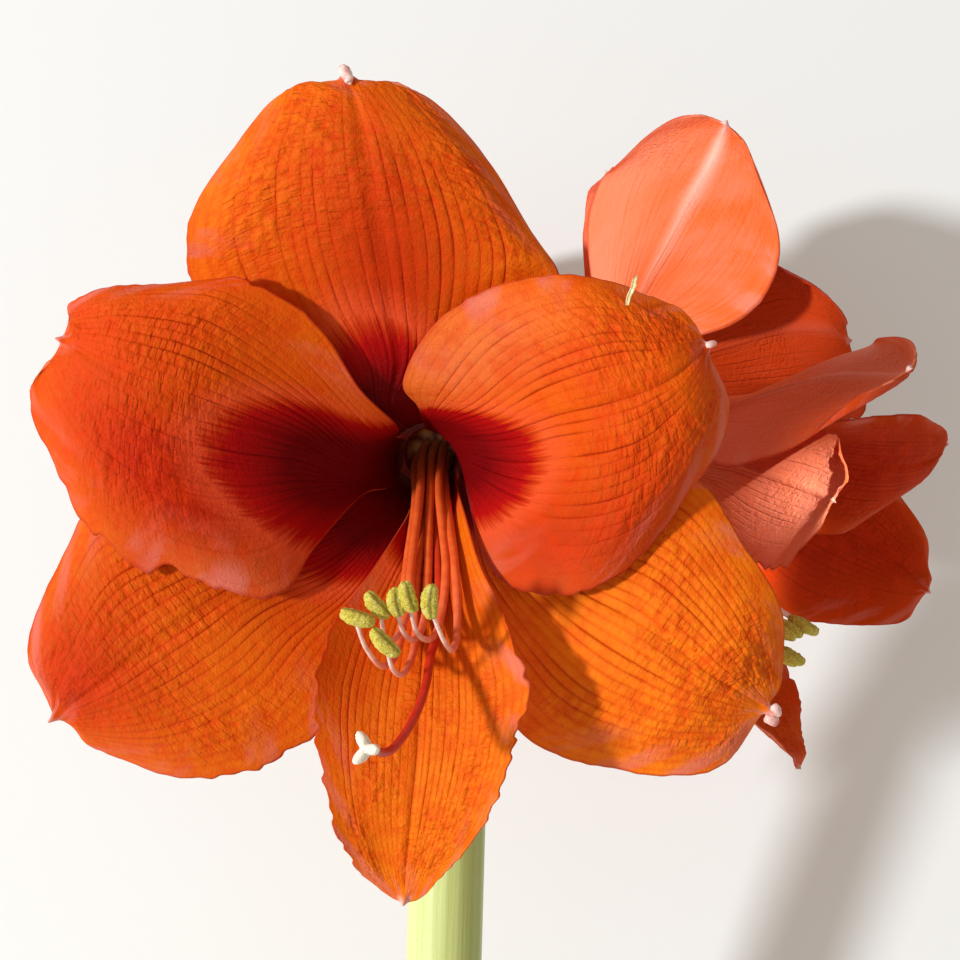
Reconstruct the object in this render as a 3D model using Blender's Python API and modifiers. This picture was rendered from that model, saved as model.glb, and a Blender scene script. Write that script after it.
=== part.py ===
"""A cut amaryllis stem with three open blooms, lying down.

The stem is set up the way it grows, upright and facing -Y, and one empty then tips it on to its back.
Every bloom has a frame of its own, in millimetres: x to the right of someone who faces it, y up and z
out of its mouth, with the origin in the throat, where the six tepals leave the tube.
"""
import math

import bmesh
import bpy
import numpy as np
from mathutils import Euler, Matrix, Vector

MM = 0.001
GAP = 0.32

# The stem rests on its cut end and on two tepals of the back bloom: turn in degrees and shift of the whole.
LAID_TURN = (-72.329, -3.531, -1.124)
LAID_SHIFT = Vector((-9.12, 129.69, 136.23))

# Scape: the leafless stalk, hollow at its cut end.
SCAPE_TOP = Vector((-7.6, 0.0, -42.0))
SCAPE_LENGTH = 365.0
SCAPE_LEAN = math.radians(1.8)
SCAPE_TOP_RADIUS = 11.0
SCAPE_CUT_RADIUS = 12.4
SCAPE_BORE = 7.4
SCAPE_BORE_DEPTH = 20.0
SCAPE_BORE_TAPER = 0.6
SCAPE_BORE_END = 2.0
SCAPE_SWELL = 0.2
SCAPE_SHOULDER = (1.5, 1.8)
SCAPE_SIDES = 28

# Tube of a bloom: distances behind the throat, along the flower stalk, with the radius there. It is straight
# near the throat, and the ovary behind it already bends with the stalk.
TUBE_RIM_OUTER = 11.0
TUBE_RIM_INNER = 7.3
CUP_DEPTH = 9.0
CUP = ((GAP, TUBE_RIM_OUTER), (GAP, TUBE_RIM_INNER), (5.0, 6.4), (CUP_DEPTH, 5.6), (CUP_DEPTH, 0.0))
TUBE_OUTSIDE = ((42.0, 4.3), (38.0, 5.4), (33.5, 7.3), (29.0, 7.8), (24.0, 6.9), (19.0, 6.1),
                (13.0, 6.9), (6.0, 9.2))
TUBE_STRAIGHT = 19.0
STALK_RADIUS = 4.5
STALK_STATIONS = 5
STALK_PULL = 0.4
PATH_STEPS = 60
TUBE_SIDES = 14
OVARY_LOBE = 0.07
OVARY_RADII = (6.5, 8.0)
SHARP_ANGLE = math.radians(45)

# Tepals: three rails each, from the tube to the tip, along one edge, the midrib and the other edge.
TEPAL_THICKNESS = 0.8
EDGE_POWER = 2.3
WIDTH_REACH = (0.1, 0.45)
SLOPE_STEP = 0.01
RUFFLE = 1.1
RUFFLE_WAVES = 3.5
RUFFLE_PHASE = 2.0
RUFFLE_START = (0.3, 0.6)
RUFFLE_END = 0.15
TIP_START = 0.9
TIP_LAST_PART = 0.97
TIP_HALF_WIDTH = 0.3
TEPALS = {
    "tepal_upper_right": {
        "tip": 1.5,
        "start": [(1.5, 8, 0), (1.5, 10.5, 14), (2, 19.5, 29), (0.5, 28.5, 41), (10, 44, 51),
                  (25, 54, 58), (41, 57, 59), (57, 53.5, 57), (69, 49.5, 57), (75, 43, 58)],
        "midrib": [(5, 7, 0), (6.5, 8, 14), (12.5, 11, 30), (27, 15, 46), (40.5, 21.5, 57),
                   (52, 26, 64), (61, 29.5, 66), (68.5, 33, 65), (73, 36.5, 62), (76, 39.5, 58)],
        "end": [(7.5, 4, 0), (10.5, 2, 14), (14.5, -5.5, 29), (19.5, -16.5, 42), (28.5, -22.5, 51),
                (45, -20.5, 57.5), (61, -11.5, 58.5), (75, 8.5, 56.5), (81, 24.5, 54), (77.5, 36, 57)]},
    "tepal_upper_left": {
        "tip": 1.0,
        "start": [(-8, -3, 0), (-9, -5.5, 14), (-14, -4.5, 28), (-24, -14.5, 43), (-31, -23.5, 51),
                  (-48, -21.5, 57.5), (-66, -12.5, 59), (-81.5, 1, 57), (-93.5, 26, 52), (-86, 40, 53)],
        "midrib": [(-8, 1, 0), (-10.5, 1.5, 14), (-16.5, 4, 30), (-25.5, 15, 46), (-38, 23, 57),
                   (-49.5, 29.5, 64), (-60, 34, 66), (-70, 38, 64), (-77.5, 41, 59), (-83.5, 43, 54)],
        "end": [(-7, 4.5, 0), (-7, 8, 14), (-4, 14.5, 28), (-10, 26.5, 42.5), (-17.5, 44.5, 54.5),
                (-30.5, 55.5, 59.5), (-46.5, 57.5, 60), (-63.5, 55.5, 58.5), (-78.5, 50.5, 55), (-82.5, 46.5, 54)]},
    "tepal_bottom": {
        "tip": 0.6,
        "start": [(6.5, -5, 0), (9, -5, 14), (13.5, -7, 33), (19.5, -17, 49), (27.5, -27, 62),
                  (32, -39.5, 71), (31, -51.5, 76), (25.5, -68.5, 79), (15, -83, 79), (5.5, -95.5, 76)],
        "midrib": [(3.5, -7.5, 0), (4, -9.5, 14), (5, -16, 30), (5.5, -24, 46), (6, -35.5, 57),
                   (6, -48, 66), (5.5, -61.5, 72), (4, -74, 75), (2.5, -86, 76), (1.5, -95.5, 76)],
        "end": [(-0.5, -8.5, 0), (-3, -10, 14), (-2.5, -10.5, 31), (-9.5, -20.5, 46), (-16.5, -29.5, 60),
                (-19.5, -40.5, 70), (-18.5, -55.5, 75), (-15.5, -72.5, 78), (-10, -85.5, 78), (-2, -95, 76)]},
    "tepal_top": {
        "tip": 3.4,
        "start": [(-8, 6, 0), (-11, 6, 14), (-14, 14.5, 29), (-21.5, 25, 38), (-38.5, 38, 45),
                  (-48.5, 52, 50), (-49.5, 65, 53), (-41, 81, 55), (-26.5, 98.5, 55), (-13.5, 104.5, 55)],
        "midrib": [(-4, 9, 0), (-4.5, 11.5, 14), (-5, 20.5, 30), (0, 34.5, 43), (0, 51, 53),
                   (-0.5, 66.5, 59.5), (-1.5, 80.5, 64), (-3, 92.5, 64), (-5, 100, 61), (-7, 104, 57)],
        "end": [(0.5, 10, 0), (3.5, 12, 14), (5.5, 21.5, 29), (23, 27.5, 38), (36.5, 39.5, 45),
                (41.5, 52.5, 50), (37, 64.5, 53), (28, 79, 55), (11.5, 98, 56), (-1.5, 104.5, 56)]},
    "tepal_lower_left": {
        "tip": 2.6,
        "start": [(-1, -10, 0), (0.5, -12.5, 14), (-3, -18, 28), (-7.5, -27.5, 40), (-15, -45, 47),
                  (-23.5, -61.5, 51), (-38.5, -69.5, 53), (-60.5, -73, 53), (-82, -67, 53), (-89.5, -60, 53)],
        "midrib": [(-5.5, -8, 0), (-7.5, -10, 14), (-13, -13.5, 30), (-24, -19.5, 40.5), (-41.5, -23, 50.5),
                   (-53.5, -29.5, 56.5), (-64.5, -36.5, 59.5), (-74.5, -44, 61), (-85, -51.5, 58), (-92.5, -57, 54)],
        "end": [(-9, -4.5, 0), (-12, -3, 14), (-18.5, -2.5, 28), (-35.5, 3.5, 38), (-55, 4.5, 44),
                (-72.5, 1.5, 48), (-82, -3, 50), (-92, -22, 51), (-98.5, -42, 52), (-95, -54.5, 53)]},
    "tepal_lower_right": {
        "tip": 2.4,
        "start": [(9, 4, 0), (10.5, 7, 14), (18, 6.5, 28), (39, 7.5, 38), (58, 8.5, 45),
                  (74, 5.5, 50), (85, -10.5, 53), (93.5, -27.5, 55), (94.5, -42, 55), (92, -49, 55)],
        "midrib": [(10, -1, 0), (12.5, -1.5, 14), (18.5, -4.5, 30), (29, -11, 43), (44.5, -20.5, 52),
                   (57, -26.5, 57), (67.5, -33, 60.5), (76.5, -39.5, 63), (84, -45.5, 60), (90, -51, 56)],
        "end": [(8, -5.5, 0), (8.5, -9, 14), (11.5, -15, 28), (11, -32, 38), (19.5, -48, 46),
                (31, -61.5, 51), (46.5, -68, 54), (62.5, -69.5, 55), (79.5, -66, 55), (88, -55, 55)]},
}

# Stamens: the filament's course, the two ends of its anther, and where along the anther it joins.
FILAMENT_BASE_RADIUS = 0.95
FILAMENT_TIP_RADIUS = 0.45
ANTHER_RADIUS = 1.7
STAMENS = [
    ([(-3.6, -1.2, -8.6), (-4, -2.8, 2), (-0.6, -7.9, 24), (-0.2, -21.3, 46), (0.5, -33.5, 62),
      (-1.5, -35.5, 73), (-4, -28.5, 81)], ((-9, -18, 86), (-1, -20.5, 86)), 0.0),
    ([(-1.9, 1.6, -8.6), (-2, 0.2, 2), (0.6, -6, 24), (1.5, -18.2, 46), (2.5, -25.5, 59),
      (1, -29.5, 69), (-0.5, -27, 76)], ((-3.5, -14.5, 82), (1.5, -20.5, 82)), 0.6),
    ([(-1.6, -3.4, -8.6), (-1.6, -4.8, 2), (1.9, -10.6, 24), (2.7, -21.5, 46), (4.5, -32.5, 62),
      (3.5, -37, 73), (2, -34, 80)], ((-2, -22.5, 85), (4, -29, 85)), 0.4),
    ([(0.6, 1.4, -8.6), (0.8, -0.1, 2), (3.3, -7.6, 24), (5.6, -20.6, 46), (6.5, -28, 60),
      (5.5, -30, 69), (4, -25.5, 76)], ((3, -13, 82), (4, -20, 82)), 0.6),
    ([(3.1, 1.6, -8.6), (3.5, 0.2, 2), (5.9, -4.9, 24), (10.3, -18.4, 46), (10.5, -28, 60),
      (9.5, -29.5, 70), (7.5, -25.5, 77)], ((5.5, -11.5, 82), (7.5, -19, 82)), 0.7),
    ([(3.6, -1.6, -8.6), (4, -3, 2), (7.7, -6.8, 24), (12.6, -17.2, 46), (15, -28.5, 61),
      (15, -32, 70), (14, -27.5, 77)], ((12, -12, 82), (11.5, -20.5, 82)), 0.75),
]
BUNDLE = [(0, 0, -8.6), (0.5, -2, 2), (3.5, -8.5, 24), (5.5, -20, 46), (6.5, -29.5, 60), (6, -34, 75),
          (5, -38, 104)]
BUNDLE_FREE = (0.0, 28.0)
FILAMENT_STATIONS = 14
FILAMENT_TAPER_START = 0.2
ANTHER_SEGMENTS = 8
ANTHER_RINGS = 6
# In the two half-hidden blooms the anther is a swelling of the filament: distance beyond its end, and radius.
SIMPLE_STAMEN_END = (0, -2, 12)
SIMPLE_STAMEN_STATIONS = 9
SIMPLE_ANTHER = ((1.2, 1.3), (4.2, ANTHER_RADIUS), (7.2, 1.3), (8.4, 0.5))
STYLE = [(0.9, -1.6, -8.6), (1.1, -3.2, 2), (4.8, -10.2, 24), (8.4, -21, 46), (9.4, -31, 59), (9, -35, 68),
         (9, -39.5, 77), (7.5, -44, 86), (5, -47, 94), (3, -47.5, 99), (0.5, -45, 104)]
STYLE_RADIUS = 1.2
STYLE_TAPER = 0.15
STYLE_STATIONS = 18
STIGMA_LOBE = 3.6
STIGMA_NECK = 1.4
STIGMA_HALF_HEIGHT = 1.5
STIGMA_CURL = 0.1
STIGMA_RINGS = 8
STIGMA_SIDES = 12

# Spathe valves: name, the side that each faces in degrees, and length.
SPATHE_VALVES = (("spathe_valve_left", 167.0, 52.0), ("spathe_valve_right", 38.0, 34.0))
SPATHE_THICKNESS = 0.7
SPATHE_CLEARANCE = 1.0
SPATHE_DROP = 3.0
SPATHE_FLARE = 9.0
SPATHE_HALF_TURN = math.radians(62)
SPATHE_TIP_TURN = 0.03
SPATHE_NARROWING = 0.8
SPATHE_GRID = (8, 6)

# Blooms: throat and mouth direction, in the frame of the upright stem, and the clockwise roll in degrees.
# Each tepal has its openness (1 is fully open), its turn about the bloom's axis in degrees, its width and
# by how many degrees its middle arches outwards.
FULLY_OPEN = (1.0, 0.0, 1.0, 0.0)
BLOOMS = {
    "front": {
        "throat": (-13.5, -55.0, 6.9), "axis": (-0.128, -0.962, -0.24), "roll": 0.0, "scale": 1.0,
        "rows": 15, "columns": 7, "stalk_foot": (-1.5, -5.2), "heart": (1.0, 0.0), "style_reach": 1.0, "tepals": {}},
    "right": {
        "throat": (40.7, -5.8, 16.6), "axis": (0.787, -0.476, -0.392), "roll": -14.8, "scale": 0.93,
        "rows": 11, "columns": 6, "stalk_foot": (5.2, 1.5), "heart": (1.05, -50.0), "style_reach": 0.66,
        "tepals": {"tepal_top": (0.536, 17.3, 1.02, 9.6), "tepal_lower_right": (0.564, -0.7, 0.87, 16.1),
                   "tepal_upper_right": (0.533, -7.3, 1.0, -3.1), "tepal_upper_left": (0.418, -3.8, 0.95, 3.3),
                   "tepal_bottom": (0.68, -16.8, 0.83, 18.2), "tepal_lower_left": (0.85, -12.0, 0.9, 8.0)}},
    "back": {
        "throat": (22.9, 60.0, 20.4), "axis": (0.752, 0.458, 0.475), "roll": -37.0, "scale": 0.93,
        "rows": 11, "columns": 6, "stalk_foot": (-2.5, 5.2), "heart": (0.6, 0.0), "style_reach": 1.0,
        "tepals": {"tepal_top": (0.861, 0.6, 0.94, 3.8), "tepal_lower_right": (1.25, 14.0, 1.0, 0.0),
                   "tepal_upper_right": (0.603, 4.8, 0.98, 10.0), "tepal_upper_left": (0.817, -2.3, 1.11, -1.5),
                   "tepal_bottom": (0.742, 0.0, 1.0, 0.0), "tepal_lower_left": (0.884, 0.0, 1.0, 0.0)}},
}
HINGE_RADIUS = 8.0
HINGE_DEPTH = 5.0
HINGE_REACH = (8.0, 40.0)
ARCH_REACH = 110.0
TURN_REACH = (10.0, 50.0)

COLOURS = {
    "scape": ((0.50, 0.60, 0.17), 0.45),
    "tube": ((0.46, 0.40, 0.13), 0.5),
    "inside": ((0.85, 0.12, 0.01), 0.45),
    "filament": ((0.70, 0.10, 0.03), 0.4),
    "anther": ((0.62, 0.60, 0.12), 0.8),
    "stigma": ((0.85, 0.80, 0.70), 0.5),
    "spathe": ((0.45, 0.30, 0.17), 0.7),
}


def clear_scene():
    for item in list(bpy.data.objects):
        bpy.data.objects.remove(item, do_unlink=True)


def spline(points, along):
    """Points on the smooth curve through the given points, for positions from 0 to 1."""
    points = np.asarray(points, float)
    last = len(points) - 1
    position = np.clip(np.asarray(along, float), 0, 1) * last
    index = np.minimum(position.astype(int), last - 1)
    f = (position - index)[..., None]
    padded = np.vstack([2 * points[0] - points[1], points, 2 * points[-1] - points[-2]])
    a, b, c, d = (padded[index + step] for step in range(4))
    return 0.5 * (2 * b + (c - a) * f + (2 * a - 5 * b + 4 * c - d) * f**2 + (3 * (b - c) + d - a) * f**3)


def smoothstep(value, low, high):
    x = np.clip((value - low) / (high - low), 0, 1)
    return x * x * (3 - 2 * x)


def tepal_sheet(tepal, along, across, width):
    """The tepal's middle surface: across runs from -1 at its start edge to 1 at its end edge."""
    start, midrib, end = (spline(tepal[rail], along) for rail in ("start", "midrib", "end"))
    side = across[:, None]
    bulge = (start + end) / 2 - midrib
    spread = 1 + (width - 1) * smoothstep(along, *WIDTH_REACH)[:, None]
    return midrib + spread * ((end - start) / 2 * side + bulge * np.abs(side) ** EDGE_POWER)


def tepal_points(tepal, along, across, width):
    """The sheet with its waved edges and its pointed tip."""
    step = SLOPE_STEP
    points = tepal_sheet(tepal, along, across, width)
    forward = tepal_sheet(tepal, along + step, across, width) - tepal_sheet(tepal, along - step, across, width)
    sideways = tepal_sheet(tepal, along, across + step, width) - tepal_sheet(tepal, along, across - step, width)
    normal = np.cross(sideways, forward)
    normal /= np.maximum(np.linalg.norm(normal, axis=1, keepdims=True), 1e-9)
    waves = np.sin(2 * math.pi * RUFFLE_WAVES * along + RUFFLE_PHASE * np.sign(across))
    growth = smoothstep(along, *RUFFLE_START) * smoothstep(1 - along, 0.0, RUFFLE_END)
    points += normal * (RUFFLE * np.abs(across) ** 3 * waves * growth)[:, None]
    midrib = spline(tepal["midrib"], np.array([TIP_LAST_PART, 1.0]))
    outward = (midrib[1] - midrib[0]) / np.linalg.norm(midrib[1] - midrib[0])
    reach = tepal["tip"] * smoothstep(along, TIP_START, 1.0) * np.exp(-(across / TIP_HALF_WIDTH) ** 2)
    return points + reach[:, None] * outward


def fold_inwards(points, openness, turn, arch=0.0):
    """Closes an open bloom: a point swings about a ring in the throat, and turns about the bloom's axis."""
    radius = np.maximum(np.hypot(points[:, 0], points[:, 1]), 1e-6)
    outward = radius - HINGE_RADIUS
    forward = points[:, 2] - HINGE_DEPTH
    reach = np.hypot(outward, forward)
    swing = np.arctan2(outward, forward) * (1 + (openness - 1) * smoothstep(reach, *HINGE_REACH))
    swing += math.radians(arch) * np.sin(math.pi * np.clip(reach / ARCH_REACH, 0, 1))
    folded_radius = HINGE_RADIUS + reach * np.sin(swing)
    depth = HINGE_DEPTH + reach * np.cos(swing)
    turned_reach = np.hypot(folded_radius - HINGE_RADIUS, depth - HINGE_DEPTH)
    bearing = np.arctan2(points[:, 1], points[:, 0]) + math.radians(turn) * smoothstep(turned_reach, *TURN_REACH)
    return np.stack([folded_radius * np.cos(bearing), folded_radius * np.sin(bearing), depth], axis=1)


def in_heart(bloom, points):
    """Moves a filament or the style with the bundle they all lie in, which follows the closing bloom."""
    height = points[:, 2]
    middle = np.array(BUNDLE)
    bundle = np.stack([np.interp(height, middle[:, 2], middle[:, axis]) for axis in range(3)], axis=1)
    shift = fold_inwards(bundle, *bloom["heart"]) - bundle
    return points + shift * smoothstep(height, *BUNDLE_FREE)[:, None]


def bloom_matrix(bloom):
    axis = Vector(bloom["axis"]).normalized()
    up = (Vector((0, 0, 1)) - axis.z * axis).normalized()
    right = up.cross(axis)
    frame = Matrix((right, up, axis)).transposed().to_4x4()
    roll = Matrix.Rotation(math.radians(-bloom["roll"]), 4, "Z")
    return Matrix.Translation(Vector(bloom["throat"]) * MM) @ frame @ roll @ Matrix.Scale(bloom["scale"], 4)


def add_material(item, kind):
    colour, roughness = COLOURS[kind]
    material = bpy.data.materials.new(item.name)
    material.use_nodes = True
    shader = material.node_tree.nodes["Principled BSDF"]
    shader.inputs["Base Color"].default_value = (*colour, 1.0)
    shader.inputs["Roughness"].default_value = roughness
    item.data.materials.clear()
    item.data.materials.append(material)


def finish(item, name, kind, parent):
    """Names an object, gives it its material and hangs it on its parent."""
    item.name = name
    for collection in list(item.users_collection):
        collection.objects.unlink(item)
    bpy.data.collections["amaryllis_stem"].objects.link(item)
    item.parent = parent
    add_material(item, kind)
    return item


def add_empty(name, matrix, parent):
    empty = bpy.data.objects.new(name, None)
    bpy.data.collections["amaryllis_stem"].objects.link(empty)
    empty.parent = parent
    empty.matrix_local = matrix
    return empty


def add_sheet(rows, columns, shape, thickness):
    """A grid primitive bent by a formula, split into triangles and then thickened."""
    bpy.ops.mesh.primitive_grid_add(x_subdivisions=columns, y_subdivisions=rows, size=2)
    item = bpy.context.object
    flat = np.array([vertex.co for vertex in item.data.vertices])
    points = shape((flat[:, 1] + 1) / 2, flat[:, 0])
    item.data.vertices.foreach_set("co", (points * MM).ravel())
    item.data.update()
    item.data.shade_smooth()
    item.modifiers.new("Triangulate", "TRIANGULATE")
    solidify = item.modifiers.new("Solidify", "SOLIDIFY")
    solidify.thickness = thickness * MM
    solidify.offset = 0.0
    return item


def add_tepals(key, bloom, frame):
    for name, tepal in TEPALS.items():
        openness, turn, width, arch = bloom["tepals"].get(name, FULLY_OPEN)

        def shape(along, across):
            return fold_inwards(tepal_points(tepal, along, across, width), openness, turn, arch)

        item = add_sheet(bloom["rows"], bloom["columns"], shape, TEPAL_THICKNESS)
        finish(item, f"{key}_{name}", "inside", frame)


def add_ringed_body(stations, sides, place):
    """A sphere primitive whose rings are moved to the stations; its two poles close the ends."""
    segments = len(stations) - 1
    mesh = bpy.data.meshes.new("ringed_body")
    shaper = bmesh.new()
    bmesh.ops.create_uvsphere(shaper, u_segments=sides, v_segments=segments, radius=1.0)
    for vertex in shaper.verts:
        ring = round(math.acos(max(-1.0, min(1.0, vertex.co.z))) / math.pi * segments)
        turn = math.atan2(vertex.co.y, vertex.co.x)
        vertex.co = place(stations[ring], turn) * MM
    bmesh.ops.recalc_face_normals(shaper, faces=shaper.faces)
    if shaper.calc_volume(signed=True) < 0:
        bmesh.ops.reverse_faces(shaper, faces=shaper.faces)
    shaper.to_mesh(mesh)
    shaper.free()
    mesh.shade_smooth()
    mesh.set_sharp_from_angle(angle=SHARP_ANGLE)
    return bpy.data.objects.new("ringed_body", mesh)


def stalk_path(bloom, frame):
    """The curve from the end of the straight tube down to the scape, as points in the bloom's frame."""
    to_bloom = frame.inverted()
    foot = np.array(to_bloom @ ((SCAPE_TOP + Vector((*bloom["stalk_foot"], GAP))) * MM)) / MM
    rise = np.array((to_bloom.to_3x3() @ Vector((0, 0, 1))).normalized())
    join = np.array((0, 0, -TUBE_STRAIGHT))
    pull = STALK_PULL * np.linalg.norm(join - foot)
    t = np.linspace(0, 1, PATH_STEPS)[:, None]
    behind = join - np.array((0, 0, pull))
    upper = (1 - t) ** 3 * join + 3 * t * (1 - t) ** 2 * behind
    return upper + 3 * t**2 * (1 - t) * (foot + pull * rise) + t**3 * foot


def add_tube(key, bloom, frame, parent):
    """Stalk, ovary and perianth tube, grown as one, with the throat as a cup in its end."""
    path = stalk_path(bloom, frame)
    lengths = TUBE_STRAIGHT + np.append(0, np.cumsum(np.linalg.norm(np.diff(path, axis=0), axis=1)))
    tangents = np.gradient(-path, axis=0)

    def on_path(curve, distance):
        return Vector([np.interp(distance, lengths, curve[:, axis]) for axis in range(3)])

    foot_distance = lengths[-1]
    steps = np.linspace(foot_distance, TUBE_OUTSIDE[0][0], STALK_STATIONS, endpoint=False)
    rings = [(foot_distance, 0.0), *((distance, STALK_RADIUS) for distance in steps), *TUBE_OUTSIDE, *CUP]
    stations = []
    for distance, radius in rings:
        if distance > TUBE_STRAIGHT:
            stations.append((on_path(path, distance), on_path(tangents, distance), radius))
        else:
            stations.append((Vector((0, 0, -distance)), Vector((0, 0, 1)), radius))

    def place(station, turn):
        centre, heading, radius = station
        heading = heading.normalized()
        side = (Vector((1, 0, 0)) - heading.x * heading).normalized()
        lobe = 1 + OVARY_LOBE * math.cos(3 * turn) * (OVARY_RADII[0] < radius < OVARY_RADII[1])
        return centre + radius * lobe * (math.cos(turn) * side + math.sin(turn) * heading.cross(side))

    finish(add_ringed_body(stations, TUBE_SIDES, place), f"{key}_tube", "tube", parent)


def add_stalk_curve(points, radii):
    """A round stalk along points in millimetres, with its own radius at each point."""
    curve = bpy.data.curves.new("stalk", "CURVE")
    curve.dimensions = "3D"
    curve.bevel_depth = MM
    curve.bevel_resolution = 1
    curve.use_fill_caps = True
    line = curve.splines.new("POLY")
    line.points.add(len(points) - 1)
    for target, point, radius in zip(line.points, points, radii):
        target.co = (*(point * MM), 1.0)
        target.radius = radius
    return bpy.data.objects.new("stalk", curve)


def anther_frame(ends):
    first, last = (Vector(end) for end in ends)
    return (first + last) / 2, (last - first).normalized(), (last - first).length / 2


def filament_end(course, ends, joint):
    """Where the filament stops, just short of the anther's skin."""
    centre, along, half = anther_frame(ends)
    seat = centre + along * half * joint
    back = Vector(course[-1]) - seat
    back = (back - back.dot(along) * along).normalized()
    skin = ANTHER_RADIUS * math.sqrt(1 - joint**2)
    return seat + back * (skin + GAP)


def add_stamens(key, bloom, parent):
    for number, (course, ends, joint) in enumerate(STAMENS, start=1):
        end = filament_end(course, ends, joint)
        along = np.linspace(0, 1, FILAMENT_STATIONS)
        points = in_heart(bloom, spline([*course, tuple(end)], along))
        taper = smoothstep(along, FILAMENT_TAPER_START, 1.0)
        radii = FILAMENT_BASE_RADIUS + (FILAMENT_TIP_RADIUS - FILAMENT_BASE_RADIUS) * taper
        finish(add_stalk_curve(points, radii), f"{key}_filament_{number}", "filament", parent)
        add_anther(f"{key}_anther_{number}", ends, parent)


def add_anther(name, ends, parent):
    centre, along, half = anther_frame(ends)
    bpy.ops.mesh.primitive_uv_sphere_add(segments=ANTHER_SEGMENTS, ring_count=ANTHER_RINGS, radius=1.0)
    item = bpy.context.object
    for vertex in item.data.vertices:
        vertex.co = Vector((vertex.co.x * ANTHER_RADIUS, vertex.co.y * ANTHER_RADIUS, vertex.co.z * half)) * MM
    item.data.shade_smooth()
    finish(item, name, "anther", parent)
    item.location = centre * MM
    item.rotation_mode = "QUATERNION"
    item.rotation_quaternion = Vector((0, 0, 1)).rotation_difference(along)


def add_simple_stamens(key, bloom, parent):
    """The half-hidden blooms: filament and anther are one body, the anther a swelling at the end."""
    beyond, swelling = np.array(SIMPLE_ANTHER).T
    for number, (course, *_) in enumerate(STAMENS, start=1):
        shaft_end = np.array(course[-2]) + SIMPLE_STAMEN_END
        along = np.linspace(0, 1, SIMPLE_STAMEN_STATIONS)
        shaft = in_heart(bloom, spline([*course[:-1], shaft_end], along))
        heading = (shaft[-1] - shaft[-2]) / np.linalg.norm(shaft[-1] - shaft[-2])
        head = shaft[-1] + heading * beyond[:, None]
        radii = [*np.linspace(FILAMENT_BASE_RADIUS, FILAMENT_TIP_RADIUS, SIMPLE_STAMEN_STATIONS), *swelling]
        finish(add_stalk_curve(np.vstack([shaft, head]), radii), f"{key}_stamen_{number}", "filament", parent)


def add_pistil(key, bloom, parent):
    along = np.linspace(0, 1, STYLE_STATIONS)
    points = in_heart(bloom, spline(STYLE, along * bloom["style_reach"]))
    radii = STYLE_RADIUS * (1 - STYLE_TAPER * along)
    finish(add_stalk_curve(points, radii), f"{key}_style", "filament", parent)
    heading = Vector(points[-1] - points[-2]).normalized()
    stations = [math.pi * ring / STIGMA_RINGS for ring in range(STIGMA_RINGS + 1)]

    def place(station, turn):
        lobe = (0.5 + 0.5 * math.cos(3 * turn)) ** 1.5
        spread = math.sin(station) * (STIGMA_NECK + (STIGMA_LOBE - STIGMA_NECK) * lobe)
        height = STIGMA_HALF_HEIGHT * (1 - math.cos(station)) + STIGMA_CURL * spread**2
        return Vector((spread * math.cos(turn), spread * math.sin(turn), height))

    item = finish(add_ringed_body(stations, STIGMA_SIDES, place), f"{key}_stigma", "stigma", parent)
    item.location = (Vector(points[-1]) + heading * GAP) * MM
    item.rotation_mode = "QUATERNION"
    item.rotation_quaternion = Vector((0, 0, 1)).rotation_difference(heading)


def add_scape(parent):
    """The stalk is turned: down its outer side, then up the bore at the cut end."""
    inset, depth = SCAPE_SHOULDER
    profile = ((0.0, 0.0), (SCAPE_TOP_RADIUS - inset, 0.0), (SCAPE_TOP_RADIUS, -depth),
               (SCAPE_TOP_RADIUS + SCAPE_SWELL, -SCAPE_LENGTH / 3), (SCAPE_CUT_RADIUS, -SCAPE_LENGTH),
               (SCAPE_BORE, -SCAPE_LENGTH), (SCAPE_BORE - SCAPE_BORE_TAPER, SCAPE_BORE_DEPTH - SCAPE_LENGTH),
               (0.0, SCAPE_BORE_DEPTH + SCAPE_BORE_END - SCAPE_LENGTH))
    mesh = bpy.data.meshes.new("scape")
    mesh.from_pydata([(x * MM, 0, z * MM) for x, z in profile],
                     [(i, i + 1) for i in range(len(profile) - 1)], [])
    item = finish(bpy.data.objects.new("scape", mesh), "scape", "scape", parent)
    turn = item.modifiers.new("Screw", "SCREW")
    turn.steps = SCAPE_SIDES
    turn.render_steps = SCAPE_SIDES
    turn.use_merge_vertices = True
    turn.merge_threshold = 0.00001
    item.location = SCAPE_TOP * MM
    item.rotation_euler = (0, SCAPE_LEAN, 0)


def add_spathe_valve(name, facing, length, parent):
    """A withered bract: it clasps the scape's top, hangs beside it and curls at its end."""
    def shape(along, across):
        half_turn = SPATHE_HALF_TURN * (1 - along) ** SPATHE_NARROWING + SPATHE_TIP_TURN
        radius = SCAPE_TOP_RADIUS + SPATHE_CLEARANCE + SPATHE_FLARE * along**2
        turn = math.radians(facing) + across * half_turn
        drop = SPATHE_DROP + length * along
        return np.stack([SCAPE_TOP.x + radius * np.cos(turn), radius * np.sin(turn), SCAPE_TOP.z - drop], axis=1)

    finish(add_sheet(*SPATHE_GRID, shape, SPATHE_THICKNESS), name, "spathe", parent)


def build():
    clear_scene()
    collection = bpy.data.collections.new("amaryllis_stem")
    bpy.context.scene.collection.children.link(collection)
    laid_turn = Euler([math.radians(angle) for angle in LAID_TURN]).to_matrix().to_4x4()
    laid_down = add_empty("laid_down", Matrix.Translation(LAID_SHIFT * MM) @ laid_turn, None)
    add_scape(laid_down)
    for name, facing, length in SPATHE_VALVES:
        add_spathe_valve(name, facing, length, laid_down)
    for key, bloom in BLOOMS.items():
        frame = bloom_matrix(bloom)
        parent = add_empty(f"bloom_{key}", frame, laid_down)
        add_tube(key, bloom, frame, parent)
        add_tepals(key, bloom, parent)
        if key == "front":
            add_stamens(key, bloom, parent)
        else:
            add_simple_stamens(key, bloom, parent)
        add_pistil(key, bloom, parent)


build()
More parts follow.
